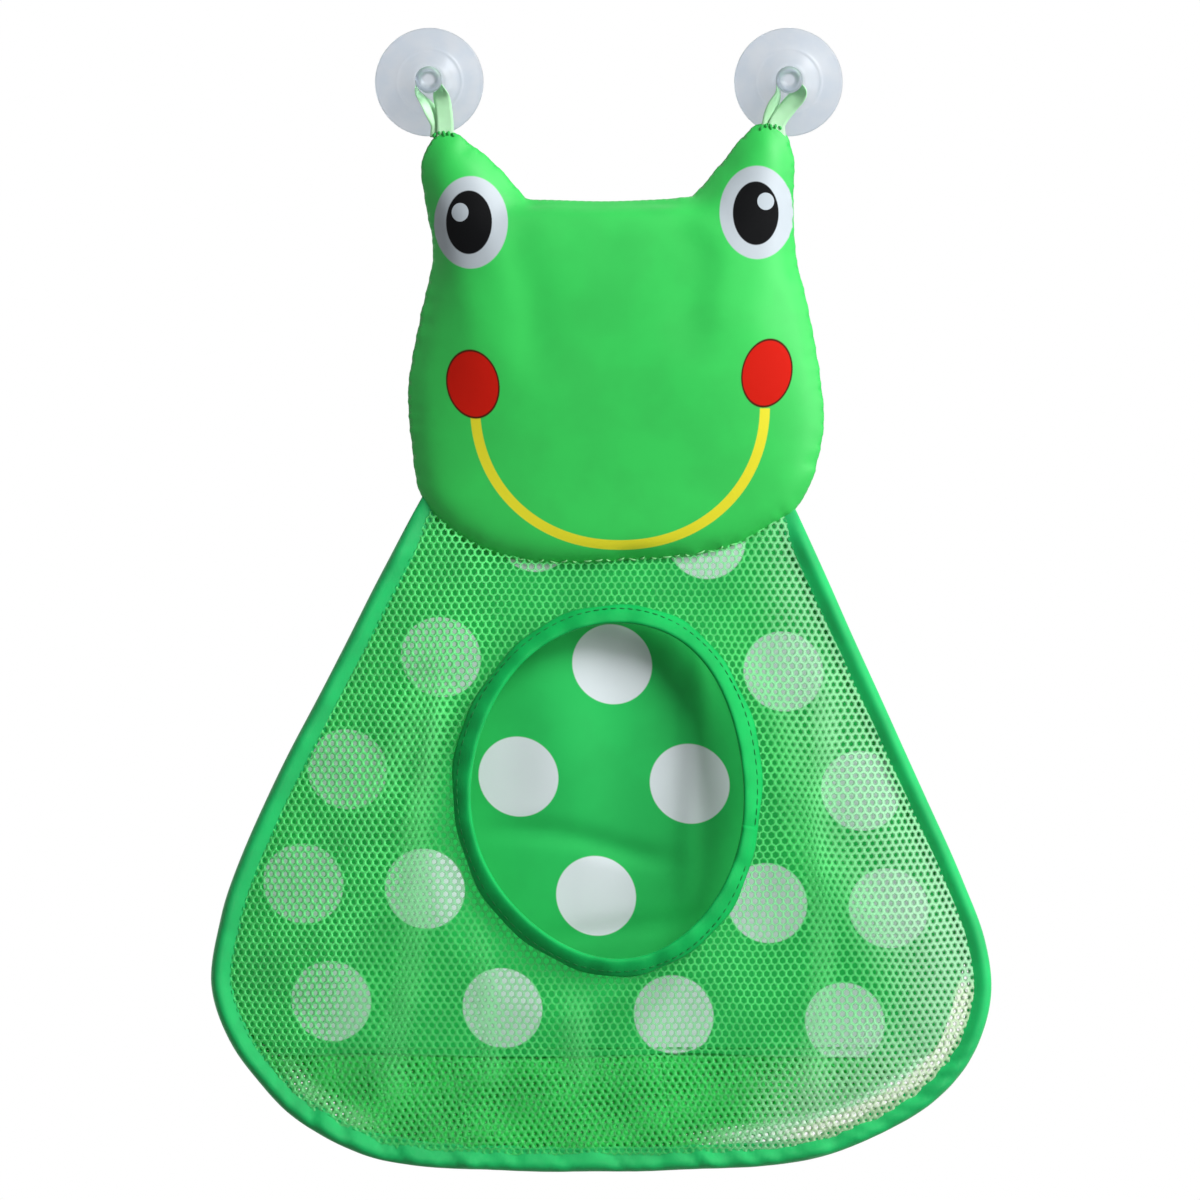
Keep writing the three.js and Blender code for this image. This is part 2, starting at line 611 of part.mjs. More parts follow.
// Net front of the pocket: an open diamond net that swells from the edge tape to the mouth, with a plain hem
// at both.
function frontMesh() {
  const hem = sheetOutline(sheetInset, BAG_SEAM_GAP);
  const start = sheetOutline(BINDING_WIDTH / 2 + MESH_HEM, BAG_SEAM_GAP + BAG_TOP_HEM);
  const count = start.length;
  const startAt = (s) => {
    const i = Math.floor(s);
    return start[(i + count) % count].clone().lerp(start[(i + 1 + count) % count], s - i);
  };
  const mouthAngle = (p) => Math.atan2((p.y + MOUTH_CENTRE_DROP) * mouthHalf.x, p.x * mouthHalf.y);
  const netPoint = (s, t) => {
    const edge = startAt(s);
    const rim = mouthPoint(mouthAngle(edge), MOUTH_TAPE_WIDTH + MESH_HEM);
    const swell = 1 - (1 - t) ** NET_SWELL;
    return new THREE.Vector3(lerp(edge.x, rim.x, t), lerp(frontLayerY, rim.y, swell), lerp(edge.y, rim.z, t));
  };
  const forward = new THREE.Vector3(0, -1, 0);
  const netNormal = (s, t) => {
    const across = netPoint(s + NET_SLOPE_STEP, t).sub(netPoint(s - NET_SLOPE_STEP, t));
    const inward = netPoint(s, t + NET_SLOPE_STEP).sub(netPoint(s, t - NET_SLOPE_STEP));
    const normal = across.cross(inward).normalize();
    return normal.dot(forward) < 0 ? normal.negate() : normal;
  };
  const points = [];
  const triangles = [];
  const addVertex = (place, normal) => {
    points.push(place.clone().addScaledVector(normal, FABRIC / 2));
    points.push(place.clone().addScaledVector(normal, -FABRIC / 2));
    return points.length / 2 - 1;
  };
  const addFace = (...corners) => {
    for (let k = 2; k < corners.length; k++) {
      const [a, b, c] = [2 * corners[0], 2 * corners[k - 1], 2 * corners[k]];
      triangles.push([a, b, c], [a + 1, c + 1, b + 1]);
    }
  };
  const addWall = (from, to) => {
    const [a, b] = [2 * from, 2 * to];
    triangles.push([a, a + 1, b + 1], [a, b + 1, b]);
  };
  const rows = [];
  for (let j = 0; j <= NET_ROWS; j++) {
    const share = j / NET_ROWS;
    const plain = j === 0 || j === NET_ROWS;
    rows.push(
      start.map((_, i) => {
        const s = i + (j % 2) / 2;
        return addVertex(netPoint(s, share), plain ? forward : netNormal(s, share));
      }),
    );
  }
  const outerHem = hem.map((p) => addVertex(new THREE.Vector3(p.x, frontLayerY, p.y), forward));
  const hemOut = MOUTH_TAPE_WIDTH - MESH_IN_TAPE;
  const innerHem = start.map((p) => addVertex(mouthPoint(mouthAngle(p), hemOut), forward));
  const firstRow = rows[0];
  const lastRow = rows[NET_ROWS];
  for (let i = 0; i < count; i++) {
    const next = (i + 1) % count;
    addFace(outerHem[i], outerHem[next], firstRow[next], firstRow[i]);
    addWall(outerHem[i], outerHem[next]);
    addFace(firstRow[i], firstRow[next], rows[1][i]);
    addFace(lastRow[i], rows[NET_ROWS - 1][i], lastRow[next]);
    addFace(lastRow[i], lastRow[next], innerHem[next], innerHem[i]);
    addWall(innerHem[next], innerHem[i]);
    for (let j = 1; j < NET_ROWS; j++) {
      const middle = j % 2 ? next : i;
      const corners = [rows[j][i], rows[j - 1][middle], rows[j][next], rows[j + 1][middle]];
      const centre = new THREE.Vector3();
      corners.forEach((c) => centre.add(points[2 * c]).add(points[2 * c + 1]));
      centre.divideScalar(2 * corners.length);
      const gap = corners.map((c) => {
        const place = points[2 * c].clone().lerp(points[2 * c + 1], 0.5);
        const normal = points[2 * c].clone().sub(points[2 * c + 1]).normalize();
        return addVertex(centre.clone().lerp(place, NET_OPENNESS), normal);
      });
      corners.forEach((c, k) => {
        const after = (k + 1) % corners.length;
        addFace(c, corners[after], gap[after], gap[k]);
        addWall(gap[after], gap[k]);
      });
    }
  }
  return closedGeometry(points, triangles);
}

const backPanel = () =>
  clothPlate(cutAtLevel(sheetOutline(sheetInset, BAG_SEAM_GAP), -DRAIN_SEAM_DROP, 1), [], seamY);

// Net strip behind the lower edge of the back panel: rows of diamond gaps, every other row moved by half
// a pitch.
function drainMesh() {
  const outline = cutAtLevel(sheetOutline(sheetInset, BAG_SEAM_GAP), -DRAIN_SEAM_DROP + DRAIN_LAP, -1);
  const field = cutAtLevel(sheetOutline(tapeHalf + DRAIN_MARGIN, BAG_SEAM_GAP), -DRAIN_SEAM_DROP, -1);
  const inField = (p) => {
    let inside = false;
    field.forEach((a, i) => {
      const b = field[(i + 1) % field.length];
      const crosses = a.y > p.y !== b.y > p.y;
      if (crosses && p.x < a.x + ((p.y - a.y) * (b.x - a.x)) / (b.y - a.y)) inside = !inside;
    });
    return inside;
  };
  const pitchX = DRAIN_GAP_WIDTH + DRAIN_STRAND;
  const pitchZ = (DRAIN_GAP_HEIGHT + DRAIN_STRAND) / 2;
  const holes = [];
  const topRow = -DRAIN_SEAM_DROP - DRAIN_MARGIN - DRAIN_GAP_HEIGHT / 2;
  const rowCount = Math.floor((topRow + BAG_BOTTOM_DROP) / pitchZ);
  const columns = Math.ceil(BAG_WIDTH / pitchX / 2);
  for (let row = 0; row <= rowCount; row++) {
    for (let column = -columns; column <= columns; column++) {
      const centre = flat((column + (row % 2) / 2) * pitchX, topRow - row * pitchZ);
      const gap = [
        flat(centre.x - DRAIN_GAP_WIDTH / 2, centre.y),
        flat(centre.x, centre.y - DRAIN_GAP_HEIGHT / 2),
        flat(centre.x + DRAIN_GAP_WIDTH / 2, centre.y),
        flat(centre.x, centre.y + DRAIN_GAP_HEIGHT / 2),
      ];
      if (gap.every((p) => inField(p))) holes.push(gap);
    }
  }
  return clothPlate(outline, holes, drainLayerY);
}

function drainStitch() {
  const z = -DRAIN_SEAM_DROP + DRAIN_LAP / 2;
  const edge = cutAtLevel(sheetOutline(tapeHalf + DRAIN_MARGIN, BAG_SEAM_GAP), z, 1);
  const reach = Math.max(...edge.filter((p) => Math.abs(p.y - z) < 1e-6).map((p) => p.x));
  const y = seamY - FABRIC / 2 - threadStandoff;
  return threadAlong([-reach, 0, reach].map((x) => new THREE.Vector3(x, y, z)));
}

// Finishes
const headGreen = { color: "#5ad873", roughness: 0.55 };
const backGreen = { color: "#3fc46c", roughness: 0.6 };
const netGreen = { color: "#3bb35a", roughness: 0.6 };
const tapeGreen = { color: "#2fae64", roughness: 0.5 };
const ribbonGreen = { color: "#a8ebab", roughness: 0.35 };
const threadGreen = { color: "#8fe39a", roughness: 0.6 };
const wadding = { color: "#f2f2ee", roughness: 0.9 };
const clearVinyl = { color: "#dfe6ee", roughness: 0.2, transparent: true, opacity: 0.5 };

const organizer = new THREE.Group();

function addPiece(name, geometry, finish) {
  const mesh = new THREE.Mesh(geometry, new THREE.MeshStandardMaterial({ metalness: 0, ...finish }));
  mesh.name = name;
  organizer.add(mesh);
  return mesh;
}

addPiece("head_front_panel", headPanel(HEAD_FRONT_CROWN, -1), headGreen);
addPiece("head_back_panel", headPanel(HEAD_BACK_CROWN, 1), headGreen);
addPiece("head_filling", headFilling(), wadding);
const onClosing = (p) => p.y <= seamZ(p.x) + 0.01 && Math.abs(p.x) <= HEAD_CLOSING_WIDTH / 2;
addPiece("head_closing_thread", headThread(onClosing), threadGreen);

for (const [hand, side] of [["left", -1], ["right", 1]]) {
  const onTip = (p) => p.y > -EAR_SHOULDER_DROP && side * p.x > EAR_TIP_SPACING / 2 - 0.6 * EAR_TIP_WIDTH;
  addPiece(`${hand}_loop_stitch`, headThread(onTip), threadGreen);
  addPiece(`${hand}_ribbon_loop`, ribbonLoop(side), ribbonGreen);
  const cup = addPiece(`${hand}_suction_cup`, cupGeometry(), clearVinyl);
  cup.position.x = (side * CUP_SPACING) / 2;
}

addPiece("front_mesh", frontMesh(), netGreen);
addPiece("mouth_binding", mouthBinding(), tapeGreen);
addPiece("mouth_stitch_thread", mouthStitch(), threadGreen);
addPiece("back_panel", backPanel(), backGreen);
addPiece("drain_mesh", drainMesh(), netGreen);
addPiece("drain_seam_thread", drainStitch(), threadGreen);
addPiece("edge_binding", edgeBinding(), tapeGreen);
addPiece("edge_cord", edgeCord(), wadding);
addPiece("edge_stitch_thread", edgeStitch(), threadGreen);

export default organizer;
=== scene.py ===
import math

import bpy
import bmesh
import numpy as np
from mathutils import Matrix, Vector, geometry, noise
from mathutils.bvhtree import BVHTree


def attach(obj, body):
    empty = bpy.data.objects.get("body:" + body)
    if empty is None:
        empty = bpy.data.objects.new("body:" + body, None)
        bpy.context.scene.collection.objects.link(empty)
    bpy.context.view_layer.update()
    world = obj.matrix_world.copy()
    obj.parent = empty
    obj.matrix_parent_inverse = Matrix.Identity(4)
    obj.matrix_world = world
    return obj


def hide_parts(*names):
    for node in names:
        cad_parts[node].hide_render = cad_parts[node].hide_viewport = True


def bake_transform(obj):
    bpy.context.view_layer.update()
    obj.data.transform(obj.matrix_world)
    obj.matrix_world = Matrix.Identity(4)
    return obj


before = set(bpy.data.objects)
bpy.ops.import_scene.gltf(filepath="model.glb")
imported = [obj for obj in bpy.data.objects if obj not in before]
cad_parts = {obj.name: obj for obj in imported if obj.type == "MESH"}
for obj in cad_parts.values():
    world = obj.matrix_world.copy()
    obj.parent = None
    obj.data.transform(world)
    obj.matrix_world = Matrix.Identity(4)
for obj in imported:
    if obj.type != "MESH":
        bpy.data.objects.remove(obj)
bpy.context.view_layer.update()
print("frame loaded with", len(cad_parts), "nodes")

mm = 0.001  # shapes below are worked out in millimetres, in the frame of the solids


def operator(operation):  # a Python operator that makes a math node, and its reflected form
    def plain(self, value):
        return self.finish.sum(operation, self, value)

    def reflected(self, value):
        return self.finish.sum(operation, value, self)

    return plain, reflected


class Wire:  # a socket that takes part in Python sums
    def __init__(self, finish, socket):
        self.finish = finish
        self.socket = socket

    def other(self, name):
        return Wire(self.finish, self.socket.node.outputs[name])

    def soft(self, low, high):  # 0 at low, 1 at high, eased between
        limits = {0: self, 1: low, 2: high}
        return self.finish.node("ShaderNodeMapRange", {"interpolation_type": "SMOOTHSTEP"}, limits)

    __add__, __radd__ = operator("ADD")
    __sub__, __rsub__ = operator("SUBTRACT")
    __mul__, __rmul__ = operator("MULTIPLY")
    __truediv__, __rtruediv__ = operator("DIVIDE")
    __pow__, __rpow__ = operator("POWER")

    def __abs__(self):
        return self.finish.sum("ABSOLUTE", self)


class Finish:  # a node tree, filled node by node
    def __init__(self, owner, slot=None):
        owner.use_nodes = True
        self.owner = owner
        self.slot = slot
        self.tree = owner.node_tree
        self.tree.nodes.clear()

    def node(self, kind, settings=None, sockets=None, out=0):
        made = self.tree.nodes.new(kind)
        for name, value in (settings or {}).items():
            setattr(made, name, value)
        for name, value in (sockets or {}).items():
            if isinstance(value, Wire):
                self.tree.links.new(value.socket, made.inputs[name])
            else:
                made.inputs[name].default_value = value
        return Wire(self, made.outputs[out]) if len(made.outputs) else None

    def sum(self, operation, *values):
        return self.node("ShaderNodeMath", {"operation": operation}, dict(enumerate(values)))

    def mix(self, factor, first, second):
        return self.node("ShaderNodeMix", {"data_type": "RGBA"}, {0: factor, 6: first, 7: second}, 2)

    def place(self):  # the spot on the piece at rest, in millimetres
        return self.node("ShaderNodeAttribute", {"attribute_name": "place"}, out="Vector")

    def axes(self, spot):
        x = self.node("ShaderNodeSeparateXYZ", sockets={0: spot})
        return x, x.other("Y"), x.other("Z")

    def mark(self, name):  # a value kept at each point of the piece
        return self.node("ShaderNodeAttribute", {"attribute_name": name}, out="Fac")

    def cloud(self, spot, scale, detail=2.0):
        return self.node("ShaderNodeTexNoise", sockets={"Vector": spot, "Scale": scale, "Detail": detail})

    def mottled(self, mottle, tint, dark, light):  # the tint in darker and lighter patches
        return self.mix(mottle.soft(0.3, 0.7), shaded(tint, dark), shaded(tint, light))

    def bump(self, height, depth, strength):
        sockets = {"Height": height, "Distance": depth, "Strength": strength}
        return self.node("ShaderNodeBump", sockets=sockets)

    def surface(self, **sockets):  # Base_Color stands for Base Color, and so on
        named = {name.replace("_", " "): value for name, value in sockets.items()}
        self.show(self.node("ShaderNodeBsdfPrincipled", sockets=named))

    def show(self, shader, target="ShaderNodeOutputMaterial"):
        self.node(target, sockets={"Surface": shader})


def newFinish(name, slot=None):
    return Finish(bpy.data.materials.new(name), slot)


def clothFinish(name, slot):  # with the spot on the piece, and its x, y and z
    finish = newFinish(name, slot)
    spot = finish.place()
    return finish, spot, *finish.axes(spot)


def colour(red, green, blue):  # from display values of 0 to 255
    shares = [value / 255 for value in (red, green, blue)]
    return tuple(s / 12.92 if s < 0.04045 else ((s + 0.055) / 1.055) ** 2.4 for s in shares) + (1.0,)


def shaded(tint, share):
    return tuple(value * share for value in tint[:3]) + (1.0,)


def weave(finish, x, z, pitch):  # height of a plain weave, from -1 to 1
    warp = finish.sum("SINE", x * (2 * math.pi / pitch))
    weft = finish.sum("SINE", z * (2 * math.pi / pitch))
    return warp * weft


def wander(points, scale, seed):  # smooth noise at each point, from about -1 to 1
    shift = Vector((17.3 * seed, 5.1 * seed, 9.7 * seed))
    return np.array([noise.noise(Vector(p) / scale + shift) for p in points.tolist()])


def ease(value, low, high):
    share = np.clip((value - low) / (high - low), 0, 1)
    return share * share * (3 - 2 * share)


def steps(line):  # distance from each point of a line to the next
    return np.linalg.norm(np.diff(line, axis=0), axis=1)


def runOf(line):  # distance along a line to each of its points
    return np.concatenate([[0], np.cumsum(steps(line))])


def circle(count):  # even angles all the way round
    return 2 * math.pi * np.arange(count) / count


def spaced(line, step, closed=False):  # the line again, with its points a step apart
    run = np.vstack([line, line[:1]]) if closed else line
    along = runOf(run)
    count = max(2, round(along[-1] / step))
    at = np.linspace(0, along[-1], count + 1)[: count if closed else None]
    return np.column_stack([np.interp(at, along, run[:, k]) for k in range(run.shape[1])])


def spline(knots, step):  # smooth open curve through the knots
    knots = np.asarray(knots, float)
    run = np.vstack([2 * knots[0] - knots[1], knots, 2 * knots[-1] - knots[-2]])
    times = np.concatenate([[0], np.cumsum(steps(run) ** 0.5)])
    share = np.linspace(0, 1, 24, endpoint=False)[:, None]
    made = []
    for k in range(1, len(run) - 2):
        a, b, c, d = run[k - 1 : k + 3]
        ab, bc, cd = np.diff(times[k - 1 : k + 3])
        leave = bc * ((b - a) / ab - (c - a) / (ab + bc) + (c - b) / bc)
        arrive = bc * ((c - b) / bc - (d - b) / (bc + cd) + (d - c) / cd)
        bend = 2 * (b - c) + leave + arrive
        made.append(((bend * share + 3 * (c - b) - 2 * leave - arrive) * share + leave) * share + b)
    return spaced(np.vstack([*made, knots[-1:]]), step)


def courseOf(line):  # unit direction at each point of a line
    along = np.gradient(line, axis=0)
    return along / np.linalg.norm(along, axis=1)[:, None]


def sideways(line):  # unit normals to the right of a flat line
    along = courseOf(line)
    return np.column_stack([along[:, 1], -along[:, 0]])


def insetOf(points, loop):  # distance inside a closed flat loop, negative outside
    a, b = loop, np.roll(loop, -1, axis=0)
    side = b - a
    best = np.empty(len(points))
    for start in range(0, len(points), 4000):
        p = points[start : start + 4000, None, :]
        t = np.clip(((p - a) * side).sum(2) / (side * side).sum(1), 0, 1)
        far = np.linalg.norm(p - a - t[..., None] * side, axis=2).min(1)
        crosses = (a[:, 1] > p[..., 1]) != (b[:, 1] > p[..., 1])
        with np.errstate(divide="ignore", invalid="ignore"):
            at = a[:, 0] + (p[..., 1] - a[:, 1]) * side[:, 0] / side[:, 1]
        inside = (crosses & (p[..., 0] < at)).sum(1) % 2 == 1
        best[start : start + 4000] = np.where(inside, far, -far)
    return best


def flatPatch(loop, spacing):  # even triangles inside a loop, whose points come first
    low, high = loop.min(0), loop.max(0)
    inner = []
    for k, z in enumerate(np.arange(low[1], high[1], spacing * math.sqrt(0.75))):
        x = np.arange(low[0] + (k % 2) * spacing / 2, high[0], spacing)
        inner.append(np.column_stack([x, np.full(len(x), z)]))
    inner = np.vstack(inner)
    every = np.vstack([loop, inner[insetOf(inner, loop) > 0.6 * spacing]])
    edges = [(k, (k + 1) % len(loop)) for k in range(len(loop))]
    made = geometry.delaunay_2d_cdt([Vector(p) for p in every.tolist()], edges, [], 1, 1e-4)
    source = [origins[0] for origins in made[3]]
    faces = [[source[v] for v in face] for face in made[2]]
    return every, faces


def lifted(flat, y):  # flat places at a depth
    return np.column_stack([flat[:, 0], np.broadcast_to(y, len(flat)), flat[:, 1]])


def addObject(name, data):
    made = bpy.data.objects.new(name, data)
    bpy.context.scene.collection.objects.link(made)
    return made


def makePiece(name, points, faces, finish):
    points = np.asarray(points, float)
    mesh = bpy.data.meshes.new(name)
    mesh.from_pydata((points * mm).tolist(), [], [list(map(int, face)) for face in faces])
    kept = mesh.attributes.new("place", "FLOAT_VECTOR", "POINT")
    kept.data.foreach_set("vector", points.astype(np.float32).ravel())
    mesh.polygons.foreach_set("use_smooth", [True] * len(mesh.polygons))
    mesh.update()
    piece = addObject(name, mesh)
    mesh.materials.append(finish.owner)
    return piece


def turnOutwards(piece):
    work = bmesh.new()
    work.from_mesh(piece.data)
    bmesh.ops.recalc_face_normals(work, faces=work.faces)
    work.to_mesh(piece.data)
    work.free()


def thicken(piece, depth, side=0.0):
    layer = piece.modifiers.new("thickness", "SOLIDIFY")
    layer.thickness = depth * mm
    layer.offset = side


def smoothen(piece):
    finer = piece.modifiers.new("smooth", "SUBSURF")
    finer.levels = finer.render_levels = 1


def skin(rings, around=False):  # faces between rows of points, row by row
    count, size = rings.shape[:2]
    faces = []
    for near in range(0, (count - 1) * size, size):
        far = near + size
        for i in range(size if around else size - 1):
            j = (i + 1) % size
            faces.append((near + i, near + j, far + j, far + i))
    return rings.reshape(-1, 3), faces


def stitchRow(starts, ends, lift, width):  # rounded stitches that lie on a face
    shares = np.array([0.0, 0.08, 0.3, 0.7, 0.92, 1.0])
    swell = np.array([0.15, 0.7, 1.0, 1.0, 0.7, 0.15])
    sides = 6
    angles = circle(sides)
    points, faces = [], []
    for a, b, up in zip(starts, ends, lift):
        along = (b - a) / np.linalg.norm(b - a)
        across = np.cross(along, up)
        across /= np.linalg.norm(across)
        up = np.cross(across, along)
        ring = np.cos(angles)[:, None] * across + np.sin(angles)[:, None] * up * 0.8
        middle = a + shares[:, None] * (b - a)
        rings = middle[:, None, :] + ring * (swell * width / 2)[:, None, None]
        rings += up * (0.5 * width * np.sin(math.pi * shares))[:, None, None]
        first = len(points) * len(shares) * sides
        made, quads = skin(rings, around=True)
        points.append(made)
        faces += [tuple(first + v for v in quad) for quad in quads]
        faces.append(tuple(first + v for v in range(sides))[::-1])
        faces.append(tuple(first + (len(shares) - 1) * sides + v for v in range(sides)))
    return np.vstack(points), faces


# finishes

headPrint = {
    "green": colour(42, 197, 80),
    "white": colour(182, 192, 199),
    "black": colour(8, 9, 11),
    "red": colour(204, 28, 14),
    "redEdge": colour(70, 26, 12),
    "yellow": colour(228, 220, 30),
    "eyes": [(-63.5, -65.6, 17.0, 21.4), (68.1, -61.0, 17.2, 21.6)],  # centre and half sizes
    "pupils": [(-64.4, -65.6, 10.6, 14.7), (67.6, -61.4, 10.6, 14.7)],
    "glints": [(-68.5, -61.0, 3.9, 4.3), (72.2, -55.9, 3.9, 4.0)],
    "cheeks": [(-62.6, -140.1, 12.2, 16.1, 13), (72.7, -135.0, 11.7, 16.1, -13)],  # and tilt
    "cheekEdge": 0.06,
    "smile": (5.1, -149.7, 66.7, 64.4),
    "smileWidth": 4.5,
    "smileCurve": 2.1,
    "frontOf": -8.2,
    "gloss": 0.8,
    "blur": 0.02,  # softness of a printed rim, as a share of the shape
}


def oval(x, z, centreX, centreZ, halfX, halfZ, tilt=0):  # 1 on the rim, less inside
    c, s = math.cos(math.radians(tilt)), math.sin(math.radians(tilt))
    across = ((x - centreX) * c + (z - centreZ) * s) / halfX
    along = ((z - centreZ) * c - (x - centreX) * s) / halfZ
    return (across * across + along * along) ** 0.5


def headFinish():
    p = headPrint
    finish, spot, x, y, z = clothFinish("head satin", "head_fabric")
    tint = finish.mottled(finish.cloud(spot, 0.035, 3), p["green"], 0.93, 1.05)
    front = y.soft(p["frontOf"] + 0.3, p["frontOf"] - 0.3)
    edge = p["blur"]
    centreX, centreZ, halfX, halfZ = p["smile"]
    curve, reach = p["smileCurve"], p["smileWidth"] / 2
    far = abs((x - centreX) / halfX) ** curve + abs((z - centreZ) / halfZ) ** curve
    off = abs(far ** (1 / curve) - 1) * (halfX + halfZ) / 2
    smile = off.soft(reach + 0.25, reach - 0.25) * z.soft(centreZ - 1, centreZ - 2)
    layers = [(smile, p["yellow"])]
    for cheek in p["cheeks"]:
        rim = oval(x, z, *cheek)
        layers.append((rim.soft(1 + edge, 1 - edge), p["redEdge"]))
        layers.append((rim.soft(1 + edge - p["cheekEdge"], 1 - edge - p["cheekEdge"]), p["red"]))
    for shapes, ink in ((p["eyes"], "white"), (p["pupils"], "black"), (p["glints"], "white")):
        layers += [(oval(x, z, *shape).soft(1 + edge, 1 - edge), p[ink]) for shape in shapes]
    for mask, ink in layers:
        tint = finish.mix(mask * front, tint, ink)
    bare = 1.0
    for shape in p["pupils"] + p["cheeks"]:  # dull ink
        bare = bare * oval(x, z, *shape).soft(1 - edge, 1 + edge)
    cloth = weave(finish, x, z, 0.55) + 0.5 * finish.cloud(spot, 0.9)
    finish.surface(
        Base_Color=tint,
        Roughness=0.52 + 0.12 * finish.cloud(spot, 0.08),
        Normal=finish.bump(cloth, 0.00006, 0.5),
        Specular_IOR_Level=0.05,
        Coat_Weight=p["gloss"] * (1 - front * (1 - bare)),
        Coat_Roughness=0.5,
        Sheen_Weight=0.08,
        Sheen_Roughness=0.45,
    )
    return finish


dotPrint = {
    "green": colour(38, 188, 90),
    "white": colour(222, 231, 235),
    "pitchX": 79.0,
    "pitchZ": 53.6,
    "topRow": -215.4,
    "slope": 0.042,  # rows run down to the right
    "firstX": 5.2,
    "drift": -3.7,  # sideways step from row to row
    "radius": 18.4,
    "drawnUp": 6.0,  # cloth taken up in the head's seam
    "drawnWithin": (-250, -228),
    "tuck": 23.0,  # cloth taken up by a tuck near each side, at the widest place
    "tuckLow": (-410, -402),
    "tuckHigh": (-344, -352),
    "tuckMiddle": -5.75,
    "tuckWithin": (97.75, 115.75),
}


def dotFinish():
    p = dotPrint
    finish, spot, x, _, z = clothFinish("dotted cloth", "dotted_fabric")
    level = z + p["slope"] * x
    widest = level.soft(*p["tuckLow"]) * level.soft(*p["tuckHigh"])
    side = finish.sum("SIGN", x)
    flatX = x + p["tuck"] * widest * side * abs(x - p["tuckMiddle"]).soft(*p["tuckWithin"])
    rowShare = (p["topRow"] - level + p["drawnUp"] * level.soft(*p["drawnWithin"])) / p["pitchZ"]
    row = finish.sum("ROUND", rowShare)
    half = finish.sum("FLOORED_MODULO", row + 1, 2.0) * 0.5
    columnShare = (flatX - p["firstX"] - p["drift"] * row) / p["pitchX"] - half
    offX = (columnShare - finish.sum("ROUND", columnShare)) * p["pitchX"]
    offZ = (rowShare - row) * p["pitchZ"]
    far = (offX * offX + offZ * offZ) ** 0.5
    dot = far.soft(p["radius"] + 0.35, p["radius"] - 0.35)
    tint = finish.mottled(finish.cloud(spot, 0.03, 3), p["green"], 0.92, 1.06)
    cloth = weave(finish, x, z, 0.6) + 0.6 * finish.cloud(spot, 0.7)
    finish.surface(
        Base_Color=finish.mix(dot, tint, p["white"]),
        Roughness=0.5 + 0.15 * finish.cloud(spot, 0.06),
        Normal=finish.bump(cloth, 0.00006, 0.5),
        Specular_IOR_Level=0.18,
        Sheen_Weight=0.05,
        Sheen_Roughness=0.4,
    )
    return finish


paintedLightTints = [((0, 0.6), colour(196, 255, 209)), ((0.6, 1), colour(226, 250, 212))]  # painted light: paler tints of yarn, laid on by the pale mark


def yarnFinish(name, slot, tint, roughness, grain, sheer=False):  # netting and thread of spun yarn
    finish = newFinish(name, slot)
    spot = finish.place()
    tone = finish.mottled(finish.cloud(spot, 0.05, 3), tint, 0.88, 1.08)
    # painted light: the yarn is painted paler where the pale mark is set
    pale = finish.mark("pale")
    for reach, paler in paintedLightTints:
        tone = finish.mix(pale.soft(*reach), tone, paler)
    fibre = finish.cloud(spot, grain, 4)
    finish.surface(
        Base_Color=tone,
        Roughness=roughness + 0.15 * (fibre - 0.5),
        Normal=finish.bump(fibre, 0.00012, 0.6),
        Alpha=finish.mark("solid") if sheer else 1.0,
        Specular_IOR_Level=0.2,
        Sheen_Weight=0.1,
        Sheen_Roughness=0.35,
    )
    return finish


def threadFinish(name, *tint):
    return yarnFinish(name, "thread", colour(*tint), 0.5, 3.0)


def tapeFinish(name, slot, tint, roughness, pitch, shine):  # woven tape with fine ribs
    finish, spot, x, _, z = clothFinish(name, slot)
    mottle = finish.cloud(spot, 0.06, 3)
    ribs = weave(finish, x + z, x - z, pitch) + 0.6 * finish.cloud(spot, 0.8, 3)
    finish.surface(
        Base_Color=finish.mottled(mottle, tint, 0.9, 1.08),
        Roughness=roughness + 0.12 * (mottle - 0.5),
        Normal=finish.bump(ribs, 0.00008, 0.6),
        Specular_IOR_Level=shine,
        Sheen_Weight=0.05,
        Sheen_Roughness=0.3,
    )
    return finish


def vinylFinish():
    finish = newFinish("clear vinyl", "clear_vinyl")
    cloudy = finish.cloud(finish.place(), 0.12, 3)
    finish.surface(
        Base_Color=finish.mix(cloudy.soft(0.3, 0.7), (0.59, 0.65, 0.72, 1), (0.65, 0.69, 0.74, 1)),
        Roughness=0.3 + 0.15 * cloudy,
        Transmission_Weight=0.82,
        IOR=1.36,
    )
    return finish


headSatin = headFinish()
dottedCloth = dotFinish()
netYarn = yarnFinish("net yarn", "net", colour(112, 255, 146), 0.42, 1.6, True)
drainYarn = yarnFinish("drain yarn", "net", colour(52, 204, 90), 0.5, 1.6)
edgeWeave = tapeFinish("edge tape", "binding_tape", colour(16, 190, 100), 0.42, 0.7, 0.28)
mouthWeave = tapeFinish("mouth tape", "binding_tape", colour(16, 182, 88), 0.4, 0.7, 0.12)
ribbonSatin = tapeFinish("ribbon satin", "ribbon", colour(198, 255, 203), 0.3, 0.5, 0.2)
paleThread = threadFinish("pale thread", 150, 232, 158)
darkThread = threadFinish("dark thread", 46, 172, 76)
tapeThread = threadFinish("tape thread", 16, 166, 80)
mouthThread = threadFinish("mouth thread", 8, 122, 54)
whiteFiller = yarnFinish("filler cord", "wadding", colour(240, 240, 234), 0.7, 2.0)
clearVinyl = vinylFinish()
print("finishes made")


# padded head

